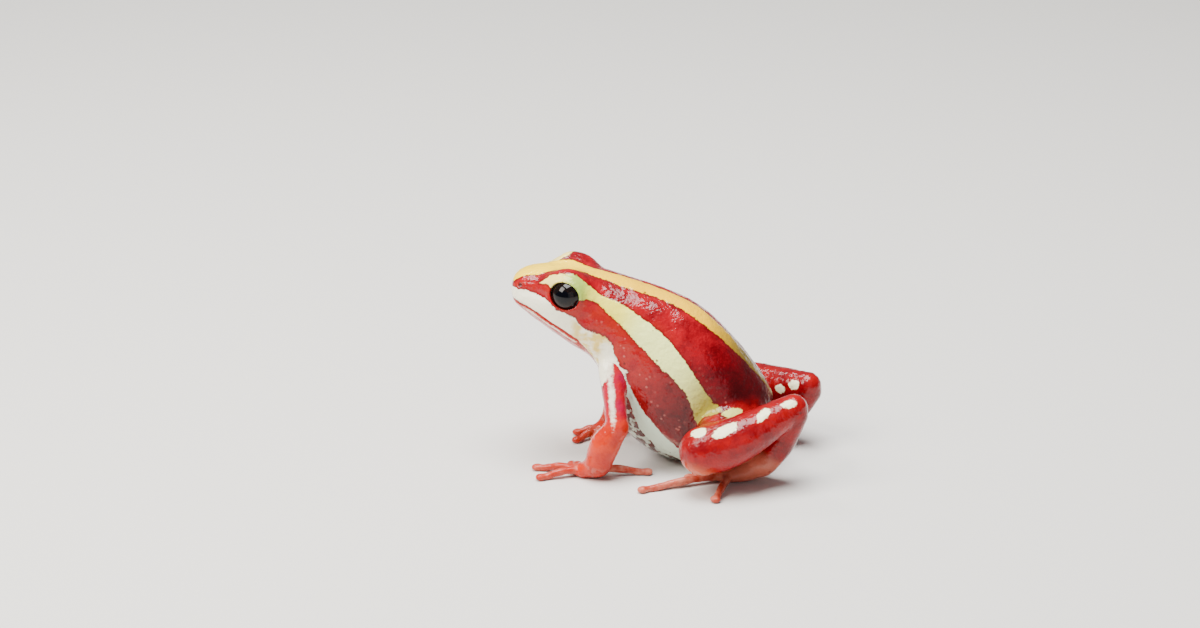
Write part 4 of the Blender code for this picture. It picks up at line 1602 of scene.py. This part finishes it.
@dataclass
class Eye:
    """One eyeball with its iris and pupil, in the socket of the skin.

    The cornea bulges in front by a share of the radius, over an angle in radians.
    """

    side: Side
    face: Face
    shift: Array
    rows: int = 64
    around: int = 96
    pupil_size: Pair = (0.62, 0.5)
    cornea: Pair = (0.035, 0.75)

    def build(self) -> bpy.types.Object:
        """Make the eyeball.

        Returns:
            The eyeball, with the places of pupil and rim as attributes.
        """
        out = self.face.axes(self.side)[0]
        level = np.cross(out, np.cross((0.0, 0.0, 1.0), out))
        level /= np.linalg.norm(level)
        tilt = (np.arange(self.rows) + 0.5) / self.rows * math.pi
        turn = np.arange(self.around) / self.around * 2 * math.pi
        bulge, spread = self.cornea
        radius = self.face.eye_radius * (1 + bulge * np.exp(-(tilt / spread) ** 2))
        local = np.stack((np.outer(radius * np.sin(tilt), np.cos(turn)),
                          np.outer(radius * np.sin(tilt), np.sin(turn)),
                          np.outer(radius * np.cos(tilt), np.ones(self.around))), -1).reshape(-1, 3)
        points = (local[:, :1] * np.cross(level, out) + local[:, 1:2] * level + local[:, 2:] * out
                  + self.side.place(EYE_PLACE))
        start = np.arange(self.rows - 1)[:, None] * self.around
        here, beside = ((start + (np.arange(self.around) + k) % self.around).ravel() for k in (0, 1))
        quads = np.stack((here, here + self.around, beside + self.around, beside), 1)
        wide, tall = self.pupil_size
        pupil = (1 - np.sqrt((local[:, 0] / wide) ** 2 + (local[:, 1] / tall) ** 2)) * tall
        in_front = local[:, 2] > 0
        eye = mesh_object("eyeball_" + self.side.label, points, quads, self.shift, {
            "pupil": np.where(in_front, pupil, -1.0),
            "radial": np.where(in_front, np.hypot(local[:, 0], local[:, 1]), self.face.eye_radius)})
        self.close_ends(eye)
        return eye

    def close_ends(self, eye: bpy.types.Object) -> None:
        """Close the small rings at the front and back of the ball and face it outwards.

        Args:
            eye: The eyeball.
        """
        shape = bmesh.new()
        shape.from_mesh(eye.data)
        bmesh.ops.holes_fill(shape, edges=[e for e in shape.edges if e.is_boundary], sides=0)
        bmesh.ops.recalc_face_normals(shape, faces=shape.faces)
        shape.to_mesh(eye.data)
        shape.free()
        eye.data.shade_smooth()


@dataclass(frozen=True)
class Lamp:
    """A square soft light aimed at the frog, in metres and watts."""

    name: str
    place: Point
    size: float
    power: float
    colour: str = "#FFFFFF"


@dataclass(frozen=True)
class Studio:
    """Floor, soft lights and the camera at the photograph's angle.

    The camera aims at a pixel of the photograph, whose frame is width_mm wide at the frog's
    distance. The sculptor's origin is at another pixel.
    """

    shift: Array
    azimuth: float = 8.0
    elevation: float = 20.0
    distance: float = 270.0
    width_mm: float = 97.17
    aim_px: Pair = (600.0, 314.0)
    origin_px: Pair = (660.0, 456.0)
    px_per_mm: float = 12.35
    sensor: float = 36.0
    floor_half: float = 0.6
    lamps: tuple[Lamp, ...] = (
        Lamp("sky", place=(-0.01, -0.01, 0.27), size=0.16, power=1.75),
        Lamp("key", place=(-0.14, -0.10, 0.19), size=0.13, power=0.95, colour="#FFF8F0"),
        Lamp("rim", place=(-0.13, 0.15, 0.23), size=0.05, power=0.2),
        Lamp("fill", place=(0.16, -0.24, 0.10), size=0.20, power=0.08, colour="#EEF4FF"))
    lamp_aim: Point = (0.0, 0.0, 0.008)
    world_colour: str = "#F0F2F5"
    world_strength: float = 0.23

    def axes(self) -> tuple[Vector, Vector, Vector]:
        """The directions back to the camera, to its right and up.

        Returns:
            Three unit vectors.
        """
        a, e = math.radians(self.azimuth), math.radians(self.elevation)
        back = Vector((math.sin(a) * math.cos(e), -math.cos(a) * math.cos(e), math.sin(e)))
        right = Vector((math.cos(a), math.sin(a), 0.0))
        return back, right, back.cross(right)

    def build(self) -> None:
        """Set up everything that isn't the frog."""
        self.build_camera()
        self.build_floor()
        self.build_lights()

    def build_camera(self) -> None:
        """Place the camera so that the frog fills the photograph's frame as it does there."""
        back, right, up = self.axes()
        target = (right * (self.aim_px[0] - self.origin_px[0])
                  + up * (self.origin_px[1] - self.aim_px[1])) / self.px_per_mm
        place = (target + back * self.distance + Vector(self.shift)) * MM
        lens = bpy.data.cameras.new("camera")
        lens.sensor_width = self.sensor
        lens.lens = self.sensor * self.distance / self.width_mm
        lens.clip_start = 0.01
        lens.clip_end = 10.0
        camera = bpy.data.objects.new("camera", lens)
        camera.location = place
        camera.rotation_euler = back.to_track_quat("Z", "Y").to_euler()
        bpy.context.scene.collection.objects.link(camera)
        bpy.context.scene.camera = camera

    def build_floor(self) -> None:
        """Lay a flat pale board under the frog."""
        half = self.floor_half
        mesh = bpy.data.meshes.new("floor")
        corners = [(-half, -half, 0), (half, -half, 0), (half, half, 0), (-half, half, 0)]
        mesh.from_pydata(corners, [], [(0, 1, 2, 3)])
        floor = bpy.data.objects.new("floor", mesh)
        bpy.context.scene.collection.objects.link(floor)
        mesh.materials.append(PaleFloor().make())

    def build_lights(self) -> None:
        """Hang a wide panel overhead, a key light at the frog's front left, a rim and a fill light."""
        for lamp in self.lamps:
            light = bpy.data.lights.new(lamp.name, "AREA")
            light.size, light.energy, light.color = lamp.size, lamp.power, linear(lamp.colour)[:3]
            panel = bpy.data.objects.new(lamp.name, light)
            panel.location = lamp.place
            aim = Vector(lamp.place) - Vector(self.lamp_aim)
            panel.rotation_euler = aim.to_track_quat("Z", "Y").to_euler()
            bpy.context.scene.collection.objects.link(panel)
        world = bpy.data.worlds.new("studio")
        world.use_nodes = True
        background = world.node_tree.nodes["Background"]
        background.inputs["Color"].default_value = linear(self.world_colour)
        background.inputs["Strength"].default_value = self.world_strength
        bpy.context.scene.world = world


FLESH = ("head", "torso") + tuple(
    f"{part}_{side.label}" for side in Side
    for part in ("upper_arm", "forearm", "hand", "thigh", "shank", "tarsus", "foot"))


def main() -> None:
    """Build the frog and the studio round it."""
    logging.basicConfig(level=logging.INFO, format="%(name)s: %(message)s")
    shift = frame_shift()
    trunk = Trunk()
    face = Face(trunk)
    skin = Skin(trunk, face, shift).build()
    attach(skin, ROOT)
    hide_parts(*FLESH)
    LOG.info("skin: %d points", len(skin.data.vertices))
    for side in Side:
        eye = Eye(side, face, shift).build()
        eye.data.materials.append(WetEye().make())
        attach(eye, ROOT)
        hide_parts("eye_" + side.label)
        LOG.info("%s: %d points", eye.name, len(eye.data.vertices))
    Studio(shift).build()
    LOG.info("studio: camera, floor and lights")


if __name__ == "__main__":
    main()
